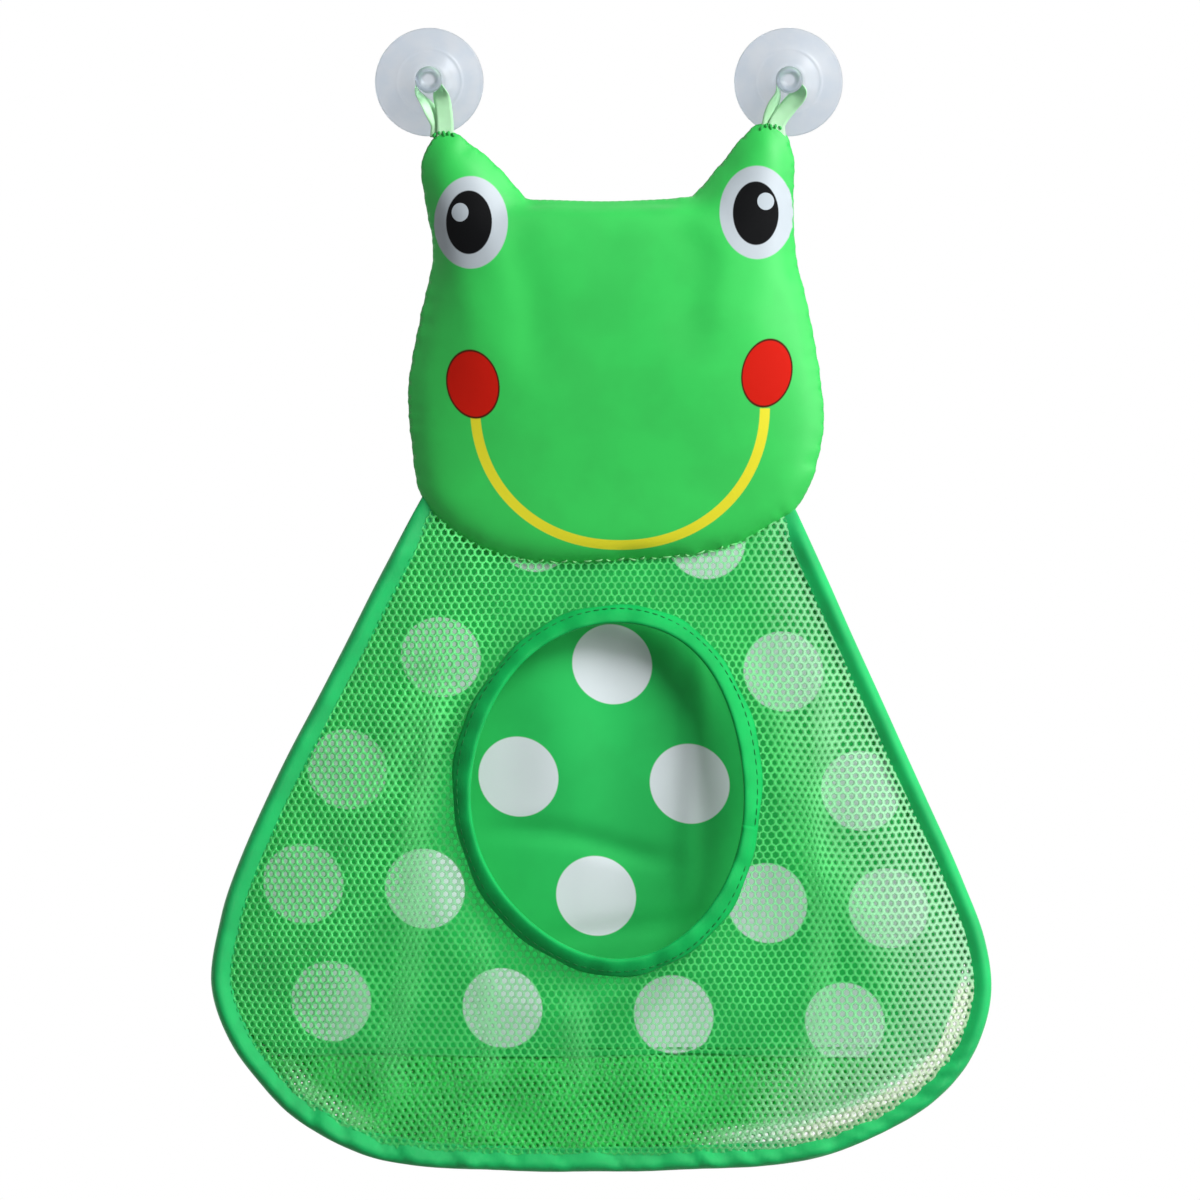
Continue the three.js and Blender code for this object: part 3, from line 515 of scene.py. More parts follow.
head = {
    "top": [(36.8, -52.2), (0, -54.8), (-37.3, -53.1)],  # upper edge from notch to notch
    "round": [  # from the left notch over the left ear, down, along the seam and up again
        (-37.3, -53.1), (-42.8, -46.7), (-56.1, -34.3), (-70.8, -23.7), (-76.6, -21.9),
        (-83.3, -27.8), (-86.9, -38.4), (-84.8, -59.6), (-82.3, -81.2), (-88.1, -108.8),
        (-93.5, -145.1), (-91.5, -169.7), (-87.4, -191.1), (-72.7, -209.0), (-44.6, -221.5),
        (0, -222.4), (50.6, -217.4), (75.4, -205.8), (86.9, -197.6), (94.3, -184.7),
        (99.5, -161.7), (98.4, -136.9), (92.5, -104.2), (87.2, -79.4), (86.0, -58.2),
        (86.0, -35.2), (81.9, -23.7), (74.5, -18.6), (68.1, -19.6), (58.9, -28.3),
        (47.4, -41.6), (36.8, -52.2),
    ],
    "seamY": -8.0,
    "frontCrown": 16.5,
    "backCrown": 4.6,
    "lowFill": 1.2,  # extra fullness of the front at its lower edge
    "overhang": 1.2,  # how far the front hangs over the lower seam
    "spacing": 3.6,
    "slack": 1.05,  # cut this much larger than the filled pad
    "pressure": 4.0,
    "frames": 24,
    "smoothing": 7,
    "calm": 0.35,  # share of the plain puffed form, which softens the wrinkles
    "puffWithin": 48,  # fully puffed this far in from the seam
    "loft": 3,  # height of each face before it is blown up
    "seamReach": 18,  # points of the seam that are averaged to either side
    "seamSpread": 6.0,
    "seamTrue": 0.6,  # share of the seam's puckers that is taken back
    "low": (150, 215),
    "lip": 7,  # the overhang is fullest this far in from the seam
    "beside": (25, 60),  # and grows from the middle to the sides
}


def headLoop():
    step = 3.4
    parts = [spline(head["top"], step)[:-1], spline(head["round"], step)[:-1]]
    return np.vstack(parts)


def inflate(points, faces):  # points of a cloth bag after it is blown up
    mesh = bpy.data.meshes.new("bag to fill")
    mesh.from_pydata((points * mm).tolist(), [], faces)
    bag = addObject("bag to fill", mesh)
    cloth = bag.modifiers.new("fill", "CLOTH")
    how = cloth.settings
    how.quality = 8
    how.mass = 0.15
    how.tension_stiffness = 20
    how.compression_stiffness = 20
    how.shear_stiffness = 8
    how.bending_stiffness = 0.4
    how.use_pressure = True
    how.uniform_pressure_force = head["pressure"]
    how.effector_weights.gravity = 0
    cloth.collision_settings.use_collision = False
    scene = bpy.context.scene
    cloth.point_cache.frame_start = 1
    cloth.point_cache.frame_end = head["frames"]
    for k in range(1, head["frames"] + 1):
        scene.frame_set(k)
    ready = bag.evaluated_get(bpy.context.evaluated_depsgraph_get())
    moved = np.zeros(len(points) * 3, np.float32)
    ready.data.vertices.foreach_get("co", moved)
    scene.frame_set(1)
    bpy.data.objects.remove(bag)
    return moved.reshape(-1, 3).astype(float) / mm


def evened(values, faces, fixed, rounds):  # averaged with their neighbours, apart from the first ones
    pairs = np.array([(face[k - 1], face[k]) for face in faces for k in range(len(face))])
    count = np.bincount(pairs.ravel(), minlength=len(values))[:, None]
    for _ in range(rounds):
        total = np.zeros_like(values)
        np.add.at(total, pairs[:, 0], values[pairs[:, 1]])
        np.add.at(total, pairs[:, 1], values[pairs[:, 0]])
        values[fixed:] += 0.5 * (total / count - values)[fixed:]
    return values


def blownUp(places, side, puffs, faces, loop):  # flat place and lift of each point of the filled pad
    rim, reach = len(loop), head["seamReach"]
    middle = places.mean(0)
    start = (places - middle) * head["slack"] + middle
    blown = inflate(lifted(start, side * puffs * head["loft"]), faces)
    spread, lift = blown[:, [0, 2]], blown[:, 1]
    print("pad blown up to", np.ptp(lift).round(1), "mm thick")
    away = loop - spread[:rim]  # bring the seam back to its outline, apart from its puckers
    window = np.exp(-((np.arange(-reach, reach + 1) / head["seamSpread"]) ** 2) / 2)
    window /= window.sum()
    calm = sum(w * np.roll(away, k - reach, axis=0) for k, w in enumerate(window))
    calm = calm + head["seamTrue"] * (away - calm)
    far = np.linalg.norm(places[:, None, :] - loop[None], axis=2) + 1.0
    pull = far**-3.0
    spread = spread + (pull @ calm) / pull.sum(1)[:, None]
    lift = lift - np.median(lift[:rim])
    lift = np.where(side < 0, lift / -lift.min(), lift / lift.max())
    lift = lift + head["calm"] * (side * puffs - lift)
    moved = evened(np.column_stack([spread - places, lift]), faces, rim, head["smoothing"])
    return places + moved[:, :2], moved[:, 2]


def makeHead():
    loop = headLoop()
    flat, front = flatPatch(loop, head["spacing"])
    rim, count = len(loop), len(flat)
    behind = np.concatenate([np.arange(rim), np.arange(count, 2 * count - rim)])
    faces = front + [[behind[v] for v in face][::-1] for face in front]
    deep = np.clip(insetOf(flat, loop), 0, None)
    deep = np.concatenate([deep, deep[rim:]])
    puffs = np.sqrt(1 - (1 - np.clip(deep / head["puffWithin"], 0, 1)) ** 2)
    places = np.vstack([flat, flat[rim:]])
    side = np.concatenate([-np.ones(count), np.ones(count - rim)])
    spread, lift = blownUp(places, side, puffs, faces, loop)
    depth = np.where(lift < 0, lift * head["frontCrown"], lift * head["backCrown"])
    low = ease(-places[:, 1], *head["low"])
    depth = np.where(lift < 0, depth * (1 + head["lowFill"] * low * (1 - puffs)), depth)
    lip = deep / head["lip"]
    lip = lip * np.exp(1 - lip)
    beside = 0.6 + 0.4 * ease(abs(places[:, 0]), *head["beside"])
    spread[:, 1] -= head["overhang"] * low**3 * lip * beside * (side < 0)
    points = lifted(spread, head["seamY"] + depth)
    pad = makePiece("head_pad", points, faces, headSatin)
    smoothen(pad)
    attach(pad, "head")
    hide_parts("head_front_panel", "head_back_panel", "head_filling")
    return pad, BVHTree.FromPolygons((points * mm).tolist(), faces), loop


headPad, headTree, headEdge = makeHead()
print("head made with", len(headPad.data.vertices), "points")


def onHead(x, z):  # front face of the pad there, and its normal
    hit, normal, _, _ = headTree.ray_cast(Vector((x * mm, -0.2, z * mm)), Vector((0, 1, 0)))
    if hit is None:
        return np.array([x, head["seamY"], z]), np.array([0.0, -1.0, 0.0])
    return np.array(hit) / mm, np.array(normal)


closing = {
    "from": -48.0,
    "to": 60.0,
    "seam": (-205, 75),  # the lower seam lies below and within these
    "pitch": 5.2,
    "length": 3.9,
    "above": 1.6,
    "thread": 0.9,
}
tacks = {
    "tips": {"left": (-76.2, -22.4), "right": (74.6, -19.2)},
    "width": 9.0,
    "rows": 5,
    "below": 1.2,
    "height": 2.6,
    "droop": 0.05,
    "thread": 1.3,
}


def sewOnHead(name, places, width, finish, node):  # places hold the two ends of each stitch
    hits = [(onHead(*first), onHead(*second)) for first, second in places]
    starts, ends = [a[0] for a, _ in hits], [b[0] for _, b in hits]
    row = makePiece(name, *stitchRow(starts, ends, [a[1] for a, _ in hits], width), finish)
    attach(row, "head")
    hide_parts(node)


def makeHeadStitches():  # uneven, as sewn by hand
    p = closing
    below, within = p["seam"]
    lower = headEdge[(headEdge[:, 1] < below) & (abs(headEdge[:, 0]) < within)]
    lower = lower[np.argsort(lower[:, 0])]
    places = []
    for k, x in enumerate(np.arange(p["from"], p["to"], p["pitch"])):
        tilt = 0.7 * math.sin(2.7 * k)
        end = x + p["length"] * (0.75 + 0.3 * math.sin(1.9 * k))
        z = np.interp([x, end], lower[:, 0], lower[:, 1]) + p["above"]
        places.append(((x, z[0] - 0.4 * tilt), (end, z[1] + tilt)))
    sewOnHead("head_closing_stitches", places, p["thread"], paleThread, "head_closing_thread")
    p = tacks
    for hand, (tipX, tipZ) in p["tips"].items():
        places = []
        for k in range(p["rows"]):
            off = p["width"] * (k / (p["rows"] - 1) - 0.5)
            lean = 0.5 * math.sin(2.3 * k + 1)
            z = tipZ - p["below"] - p["droop"] * off * off
            low = z - p["height"] * (0.6 + 0.25 * math.sin(4.1 * k))
            places.append(((tipX + off - lean, low), (tipX + 0.9 * off + lean, z + 0.3 * p["height"])))
        sewOnHead(f"{hand}_ear_tack", places, p["thread"], darkThread, f"{hand}_loop_stitch")


makeHeadStitches()
print("head stitches made")


# cups and ribbon loops

cup = {
    "spacing": 166.0,
    "profile": [  # radius and distance from the wall, from the hollow round to the knob's dimple
        (0, 3.6), (6, 3.45), (12, 2.9), (18, 1.7), (21.5, 0.7), (23, 0.0), (24.4, 0.0), (25.0, 0.35),
        (25.1, 0.8), (24.7, 1.25), (23.4, 1.6), (20, 2.5), (16, 3.75), (15, 4.3), (14.2, 4.4), (11, 6.0),
        (8.6, 7.5), (7.4, 8.0), (4.4, 8.1), (3.6, 8.6), (3.5, 12), (3.6, 16.0), (4.2, 16.5), (5.6, 16.6),
        (6.15, 17.2), (6.2, 18.6), (6.0, 19.9), (5.3, 20.8), (4.4, 21.0), (3.6, 20.7), (2.2, 20.1), (0, 19.9),
    ],
    "facets": 72,
    "step": 0.45,
}


def makeCup(hand, side):
    outline = spline(cup["profile"], cup["step"])
    outline[[0, -1], 0] = 0.0
    size = cup["facets"]
    angles = circle(size)
    middle = side * cup["spacing"] / 2
    rings = np.array(
        [[(middle + r * math.sin(a), -depth, r * math.cos(a)) for a in angles] for r, depth in outline[1:-1]]
    )
    points, faces = skin(rings, around=True)
    first, last = len(points), len(points) + 1
    points = np.vstack([points, [(middle, -outline[0, 1], 0), (middle, -outline[-1, 1], 0)]])
    end = (len(rings) - 1) * size
    for k in range(size):
        j = (k + 1) % size
        faces += [(first, j, k), (last, end + k, end + j)]
    piece = makePiece(f"{hand}_cup", points, faces, clearVinyl)
    turnOutwards(piece)
    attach(piece, f"{hand}_cup")
    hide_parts(f"{hand}_suction_cup")


ribbon = {
    "width": 7.8,
    "thickness": 0.35,
    "plyGap": 0.9,
    "foot": {"left": (-75.6, -78.6), "right": (77.6, 74.4)},  # of the front strand and the one behind
    "neck": (1, -1),  # side of the neck that each strand comes from
    "footZ": -26.0,
    "seamZ": -19.7,  # the loop swings about this line
    "middleZ": -11.5,
    "topZ": -5.5,
    "neckY": -12.25,
    "round": 5.75,  # radius of the loop round the neck
    "roundZ": -1.7,
    "bends": 24,
    "flatFor": (6.0, 1.3),  # how long each strand stays flat on its way up
    "curl": 0.2,
}


def strand(hand, number):  # one strand from the ear up to the neck: its line and its turn
    p = ribbon
    cupX = math.copysign(cup["spacing"] / 2, p["foot"][hand][0])
    way = p["neck"][number]
    footX, topX = p["foot"][hand][number], cupX + way * p["round"]
    knots = [
        (footX, p["footZ"]), (footX, p["seamZ"]), (footX + 0.5 * (topX - footX), p["middleZ"]),
        (topX - 0.3 * way, p["topZ"]), (topX, p["roundZ"]),
    ]
    line = spline(knots, 0.7)
    share = np.linspace(0, 1, len(line))
    y = head["seamY"] + (2 * number - 1) * p["plyGap"] / 2
    y = y + (p["neckY"] - y) * ease(share, 0.2, 1)
    turn = (1 - share ** p["flatFor"][number]) * math.pi / 2
    return lifted(line, y), turn


def makeRibbon(hand):
    p = ribbon
    way = p["neck"][0]
    cupX = math.copysign(cup["spacing"] / 2, p["foot"][hand][0])
    upLine, upTurn = strand(hand, 0)
    downLine, downTurn = strand(hand, 1)
    angles = math.pi * np.arange(1, p["bends"]) / p["bends"]
    overX = cupX + way * p["round"] * np.cos(angles)
    overZ = p["roundZ"] + p["round"] * np.sin(angles)
    over = lifted(np.column_stack([overX, overZ]), p["neckY"])
    line = np.vstack([upLine, over, downLine[::-1]])
    turn = np.concatenate([upTurn, np.zeros(len(angles)), downTurn[::-1]])
    shares = np.linspace(-1, 1, 7)
    rings = []
    for k, (spot, course, angle) in enumerate(zip(line, courseOf(line), turn)):
        depth = np.array([0.0, 1.0, 0.0]) - course[1] * course
        depth /= np.linalg.norm(depth)
        across = depth * math.cos(angle) + np.cross(course, depth) * math.sin(angle)
        curl = p["curl"] * shares**2 * math.sin(0.21 * k)
        row = spot + shares[:, None] * p["width"] / 2 * across
        rings.append(row + curl[:, None] * np.cross(course, across))
    piece = makePiece(f"{hand}_ribbon", *skin(np.array(rings)), ribbonSatin)
    thicken(piece, p["thickness"])
    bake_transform(piece)
    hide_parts(f"{hand}_ribbon_loop")


for handName, handSide in (("left", -1), ("right", 1)):
    makeCup(handName, handSide)
    makeRibbon(handName)
print("cups and ribbons made")


# pocket

pocket = {
    "edge": [  # outer edge from the right shoulder round to the left one
        (81.5, -189.0), (96.4, -221.0), (121.0, -276.0), (146.0, -331.4), (162.6, -368.0), (172.8, -396.0),
        (176.0, -420.0), (170.9, -441.8), (160.1, -460.2), (138.5, -478.6), (95.0, -496.6), (45.0, -501.6),
        (-3.0, -502.3), (-55.0, -501.8), (-107.5, -496.8), (-144.0, -478.6), (-162.4, -460.2),
        (-174.9, -441.8), (-183.2, -416.0), (-178.8, -387.0), (-173.0, -367.5), (-157.6, -331.4),
        (-129.5, -276.0), (-101.4, -221.0), (-84.0, -189.0),
    ],
    "tapeHalf": 4.3,
    "frontY": -9.1,
    "backY": -8.0,
    "inTape": 1.2,  # how far inside the tape's middle the sheets end
    "seam": (-222.0, 27.0, 87.0),  # the head's lower seam: middle, rise to the sides and half width
    "seamTuck": 3.0,  # how far the sheets reach up into it
}
mouth = {
    "centre": (-0.8, -326.4),
    "half": (62.8, 77.0),
    "lean": 5.0,  # top and bottom lie to the right of the sides
    "topY": -19.1,
    "bottomY": -35.1,
    "tape": 8.0,
    "drop": 7.0,  # the net falls away from the rim by this much
    "dropWithin": 9.0,
    "proud": 2.0,  # how far the rim stands out in front
}


def seamZ(x):  # lower seam of the head
    middle, rise, half = pocket["seam"]
    return middle + rise * np.abs(x / half) ** 3


def hangFromHead(piece, node):  # the piece stays where it is made, and the solid it stands for is hidden
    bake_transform(piece)
    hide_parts(node)


def sewOnBag(name, place, starts, length, width, finish, node):  # place gives the spots of a run
    ups = np.tile([0.0, -1.0, 0.0], (len(starts), 1))
    row = stitchRow(place(starts), place(starts + length), ups, width)
    hangFromHead(makePiece(name, *row, finish), node)


outerEdge = spline(pocket["edge"], 2.5)
edgeOut = -sideways(outerEdge)
if (edgeOut * (outerEdge - np.array(mouth["centre"]))).sum() < 0:
    edgeOut = -edgeOut
edgeLine = outerEdge - pocket["tapeHalf"] * edgeOut


def cutBelow(line, top, count):  # the part of a line below an upper edge, closed along that edge
    line = line[line[:, 1] < top(line[:, 0])]
    x = np.linspace(line[-1, 0], line[0, 0], count)[1:-1]
    return np.vstack([line, np.column_stack([x, top(x)])])


def sheetTop(x):  # the sheets reach up into the head's seam
    return seamZ(x) + pocket["seamTuck"]


def mouthPoint(angle, out=0.0):  # flat place on the mouth's rim, moved outwards
    c, s = np.cos(angle), np.sin(angle)
    x = mouth["half"][0] * c + mouth["lean"] * s * s
    z = mouth["half"][1] * s
    nx, nz = mouth["half"][1] * c, mouth["half"][0] * s
    size = np.hypot(nx, nz)
    return np.stack([mouth["centre"][0] + x + out * nx / size, mouth["centre"][1] + z + out * nz / size], -1)


def rimDrop(out):
    return mouth["drop"] * (1 - np.exp(-np.maximum(out, 0) / mouth["dropWithin"])) - mouth["proud"]


def mouthY(z):
    share = (mouth["centre"][1] + mouth["half"][1] - z) / (2 * mouth["half"][1])
    return mouth["topY"] + (mouth["bottomY"] - mouth["topY"]) * share


sheetEdge = cutBelow(edgeLine - pocket["inTape"] * edgeOut, sheetTop, 60)


def sheetInset(points):  # how far inside the cut edge of the sheets
    return insetOf(points[:, [0, 2]], sheetEdge)


def cutSize(loop):  # flat width and height of a loop, in metres
    return tuple((np.ptp(loop, axis=0) * mm).tolist())


def cutArea(loop):  # flat area inside a loop, in square metres
    x, z = loop[:, 0], loop[:, 1]
    return float(abs((x * np.roll(z, -1) - z * np.roll(x, -1)).sum()) / 2 * mm * mm)


net = {
    "pitch": 3.52,
    "reach": 330.0,
    "turn": 0.0,
    "yarn": 0.2,
    "open": (0.5, 0.62),  # how far a hole fills its cell, on the left and on the right
    "openWithin": (-115, -20),
    "taller": 1.2,
    "sheenClose": 0.3,  # closer where it is painted pale
    "bandClose": 0.8,  # and in the bands
    "rim": 2.5,  # it ends this far out from the mouth's rim
    "straight": 0.25,  # share of its rise that is even
    "swell": 2.3,
    "swellLow": 2.2,  # fuller towards the lower right corner
    "lowAngle": -22.0,
    "lowWidth": 46.0,
    "pleats": [  # top, bottom, half width and closeness of the bands where the net is gathered
        ((-79, -285), (-98, -452), 8.0, 0.8),
        ((-16, -412), (-12, -458), 8.0, 0.7),
        ((98, -282), (96, -455), 7.5, 0.75),
        ((58, -270), (120, -394), 13.0, 0.55),
        ((-62, -390), (-52, -455), 6.0, 0.6),
        ((-78, -262), (-106, -330), 9.0, 0.45),
    ],
    "bandEnds": ((-0.25, 0.15), (0.85, 1.3)),  # shares of its length where a band begins and fades out
    "bandIn": (2, 22),  # held off from the edge
    "bandOff": (1.02, 1.2),  # and off the mouth's tape
    "bandSway": (2.0, 17.0),
    "gather": 0.3,
    "lift": 1.2,
    # painted light: the gathered bands are painted a little paler
    "bandPale": 0.12,
    "solid": (0.32, 0.56),  # how solid the yarn looks, and how solid far on the left
    "solidWithin": (90, 120),
    "paleSolid": 0.42,
    "sway": 1.0,
}
netLightPaint = {  # where the net is painted pale as light, in from the edge, to the right, to the left and down
    "strip": (9, 17),
    "stripRight": (20, 110),
    "stripLeft": (95, 120),
    "stripLeftEnd": (140, 158),
    "stripLow": (395, 425),
    "leftShare": 0.22,
    "sheenEdge": (10, 68),
    "sheenRight": (45, 90),
    "sheenLow": (310, 420),
    "sheenTop": 0.62,  # share of the painted sheen higher up
    "sheenPale": 0.6,
}


def crescent(points):  # pale strip along the lower right edge, and a trace of it at the lower left: painted light, the yarn painted paler as light shining through, where the drain net's holes open and the front net's close
    p = netLightPaint
    x, z = points[:, 0], points[:, 2]
    left = p["leftShare"] * ease(-x, *p["stripLeft"]) * (1 - ease(-x, *p["stripLeftEnd"]))
    across = np.maximum(ease(x, *p["stripRight"]), left)
    return (1 - ease(sheetInset(points), *p["strip"])) * across * ease(-z, *p["stripLow"])


def sheenEdge(points):  # painted sheen: the net is painted a little paler towards the right edge, as light falling from the right; the same band also has smaller holes and more solid yarn
    p = netLightPaint
    low = p["sheenTop"] + (1 - p["sheenTop"]) * ease(-points[:, 2], *p["sheenLow"])
    return (1 - ease(sheetInset(points), *p["sheenEdge"])) * ease(points[:, 0], *p["sheenRight"]) * low


def polarTable(loop):  # distance of a loop from the mouth's middle, by angle
    d = loop - np.array(mouth["centre"])
    angle = np.arctan2(d[:, 1], d[:, 0])
    order = np.argsort(angle)
    at = np.linspace(-math.pi, math.pi, 720, endpoint=False)
    return at, np.interp(at, angle[order], np.hypot(d[:, 0], d[:, 1])[order], period=2 * math.pi)


class NetSheet:  # where a spot of the flat net ends up on the pocket
    def __init__(self):
        self.angle, outer = polarTable(sheetEdge)
        _, inner = polarTable(mouthPoint(np.linspace(-math.pi, math.pi, 1440, endpoint=False), net["rim"]))
        share = np.linspace(0, 1, 80)
        off = (self.angle - math.radians(net["lowAngle"]) + math.pi) % (2 * math.pi) - math.pi
        near = np.exp(-((off / math.radians(net["lowWidth"])) ** 2))
        swell = net["swell"] + net["swellLow"] * near
        self.radius = inner[:, None] + share * (outer - inner)[:, None]
        rise = mouthY(mouth["centre"][1] + inner * np.sin(self.angle)) - pocket["frontY"]
        even = net["straight"]
        left = 1 - even * share - (1 - even) * share ** swell[:, None]  # what is left of the rise
        self.height = pocket["frontY"] + rise[:, None] * left
        self.height += rimDrop(self.radius - inner[:, None] + net["rim"]) * (1 - share)
        step = np.hypot(np.diff(self.radius, axis=1), np.diff(self.height, axis=1))
        self.run = inner[:, None] + np.concatenate([np.zeros((len(step), 1)), np.cumsum(step, 1)], 1)

    def place(self, flat):  # points on the pocket, and which lie past the cut edge
        turn = np.arctan2(flat[:, 1], flat[:, 0])
        far = np.hypot(flat[:, 0], flat[:, 1])
        row = (turn + math.pi) / (2 * math.pi) * len(self.angle)
        first = np.floor(row).astype(int) % len(self.angle)
        second = (first + 1) % len(self.angle)
        part = (row - np.floor(row))[:, None]
        tables = (self.run, self.radius, self.height)
        run, radius, height = (table[first] * (1 - part) + table[second] * part for table in tables)
        tables = (radius, height)
        r, y = (np.array([np.interp(f, s, v) for f, s, v in zip(far, run, table)]) for table in tables)
        x = mouth["centre"][0] + r * np.cos(turn)
        z = mouth["centre"][1] + r * np.sin(turn)
        return np.column_stack([x, y, z]), (far < run[:, 0]) | (far > run[:, -1])


netSheet = NetSheet()


def bands(points):  # for each band: its cross direction, place across and hold
    inside = ease(sheetInset(points), *net["bandIn"])
    begins, fades = net["bandEnds"]
    sway, wave = net["bandSway"]
    d = points[:, [0, 2]] - np.array(mouth["centre"])
    rim = np.hypot(d[:, 0] / (mouth["half"][0] + mouth["tape"]), d[:, 1] / (mouth["half"][1] + mouth["tape"]))
    inside = inside * ease(rim, *net["bandOff"])
    found = []
    for top, bottom, width, close in net["pleats"]:
        way = np.subtract(bottom, top)
        size = np.hypot(*way)
        across = np.array([-way[1], way[0]]) / size
        off = points[:, [0, 2]] - top
        down = off @ way / size**2
        u = (off @ across - sway * np.sin(points[:, 2] / wave)) / width
        hold = ease(down, *begins) * (1 - ease(down, *fades)) * inside
        found.append((across, u, hold, width, close))
    return found, inside


def pleated(points):  # folds gather the net and lift it
    made = points.copy()
    found, inside = bands(points)
    for across, u, hold, width, close in found:
        shift = hold * net["gather"] * close * width * u * np.exp(-u * u / 2)
        made[:, [0, 2]] -= shift[:, None] * across
        made[:, 1] -= hold * net["lift"] * np.exp(-u * u)
    sway = net["sway"] * inside
    made[:, 0] += sway * wander(points, 26.0, 1)
    made[:, 2] += sway * wander(points, 26.0, 2)
    made[:, 1] += 1.6 * sway * wander(points, 21.0, 3)
    return made


def gathered(points):
    return np.max([close * hold * np.exp(-1.6 * u**4) for _, u, hold, _, close in bands(points)[0]], axis=0)


def netPaintedLight(points):  # painted light: paler yarn in the crescent and the sheen, and gathered net painted a little lighter
    pale = np.maximum(crescent(points), netLightPaint["sheenPale"] * sheenEdge(points))
    return np.maximum(pale, net["bandPale"] * gathered(points))


def netSolid(points):
    thin, close = net["solid"]
    left = ease(-points[:, 0] + 0.4 * (points[:, 2] + 376), *net["solidWithin"])
    return thin + np.maximum((close - thin) * left, (net["paleSolid"] - thin) * sheenEdge(points))


def frontOpen(points):  # holes are smaller on the left, in pale places and in the bands
    low, high = net["open"]
    share = low + (high - low) * ease(points[:, 0], *net["openWithin"])
    share = share - net["sheenClose"] * np.maximum(sheenEdge(points), crescent(points))
    share = (share * (1 - net["bandClose"] * gathered(points)))[:, None, None]
    return share, share * net["taller"]


def frontPlace(flat):
    points, outside = netSheet.place(flat)
    return pleated(points), outside


def hexNet(name, p, place, openShare, marks, finish):  # a piece of netting, and its count of holes
    pitch, reach, turn = p["pitch"], p["reach"], math.radians(p["turn"])
    radius = pitch / math.sqrt(3)
    rows = np.arange(-int(reach / (1.5 * radius)), int(reach / (1.5 * radius)) + 1)
    columns = np.arange(-int(reach / pitch), int(reach / pitch) + 1)
    centres = np.array([((i + (j % 2) / 2) * pitch, j * 1.5 * radius) for j in rows for i in columns])
    angles = math.pi / 6 + math.pi / 3 * np.arange(6)
    reachOut = radius * np.column_stack([np.cos(angles), np.sin(angles)])
    spin = np.array([[math.cos(turn), -math.sin(turn)], [math.sin(turn), math.cos(turn)]])
    middles, outside = place(centres @ spin.T)
    centres, middles = centres[~outside], middles[~outside]
    corners = (centres[:, None, :] + reachOut).reshape(-1, 2)
    keys = np.round(corners * 50).astype(int)
    _, firsts, which = np.unique(keys, axis=0, return_index=True, return_inverse=True)
    which = which.reshape(-1, 6)
    joints, _ = place(corners[firsts] @ spin.T)
    ends = joints[which]
    rise = ((ends[:, 1] - ends[:, 4]) / 2)[:, None, :] * np.sin(angles)[:, None]
    middle = middles[:, None, :]
    wide, tall = openShare(middles)
    holes = middle + wide * (ends - middle - rise) + tall * rise
    count = len(joints)
    off = np.array([0, p["yarn"], 0])
    points = np.vstack([joints - off, joints + off, holes.reshape(-1, 3)])
    holeAt = 2 * count + np.arange(len(middles) * 6).reshape(-1, 6)
    faces, used = [], {}
    for cell, hole in zip(which.tolist(), holeAt.tolist()):
        for k in range(6):
            j = (k + 1) % 6
            a, b, c, d = cell[k], cell[j], hole[j], hole[k]
            faces.append((a, b, c, d))
            faces.append((b + count, a + count, d, c))
            edge = (min(a, b), max(a, b))
            used[edge] = None if edge in used else (a, b)
    for edge in used.values():
        if edge:
            a, b = edge
            faces.append((b, a, a + count, b + count))
    piece = makePiece(name, points, faces, finish)
    for kept, mark in marks.items():
        layer = piece.data.attributes.new(kept, "FLOAT", "POINT")
        layer.data.foreach_set("value", mark(points).astype(np.float32))
    turnOutwards(piece)
    return piece, len(middles)


frontMarks = {"pale": netPaintedLight, "solid": netSolid}
pocketNet, netCells = hexNet("pocket_net", net, frontPlace, frontOpen, frontMarks, netYarn)
hangFromHead(pocketNet, "front_mesh")
mouthCut = mouthPoint(np.linspace(0, 2 * np.pi, 240, endpoint=False))
netArea = cutArea(sheetEdge) - cutArea(mouthCut)  # of the cut, holes and all
print("net made with", netCells, "holes")


# back of the pocket

backCut = {
    "spacing": 4.5,
    "thickness": 0.35,
    "waves": 1.1,
    "folds": [  # runs across or down, where, slant, sway, half width, where it begins and ends, height
        ("across", -353, 0.14, 2.5, 5.0, (-70, -30), (10, 45), 1.9),
        ("down", 55, -0.05, 0, 4.5, (-395, -350), (-275, -245), -1.8),
        ("across", -392, -0.12, 0, 5.0, (-40, -10), (40, 70), 1.6),
    ],
    "foldWithin": (-1.6, 4.0),
    "inside": (3, 40),  # flat at the edge
    "sag": 0.9,
    "slack": 3.6,  # stands off the wall by this much, here
    "slackAt": (-20, -312),
    "slackSize": (26.0, 42.0),
}
drain = {
    "pitch": 3.3,
    "reach": 200.0,
    "turn": 9.0,
    "yarn": 0.25,
    "open": 0.05,
    "openPale": 0.7,  # holes open up along the pale edge
    "y": -6.9,
    "z": -450.0,
    "middleZ": -460.0,
    "lap": 8.0,
    "behind": 0.7,  # it lies behind the cloth's hem
    "belly": 1.4,
    "rightRise": 62.0,
    "rightWithin": (148, 174),
    "leftRise": 14.0,
    "leftWithin": (150, 172),
}


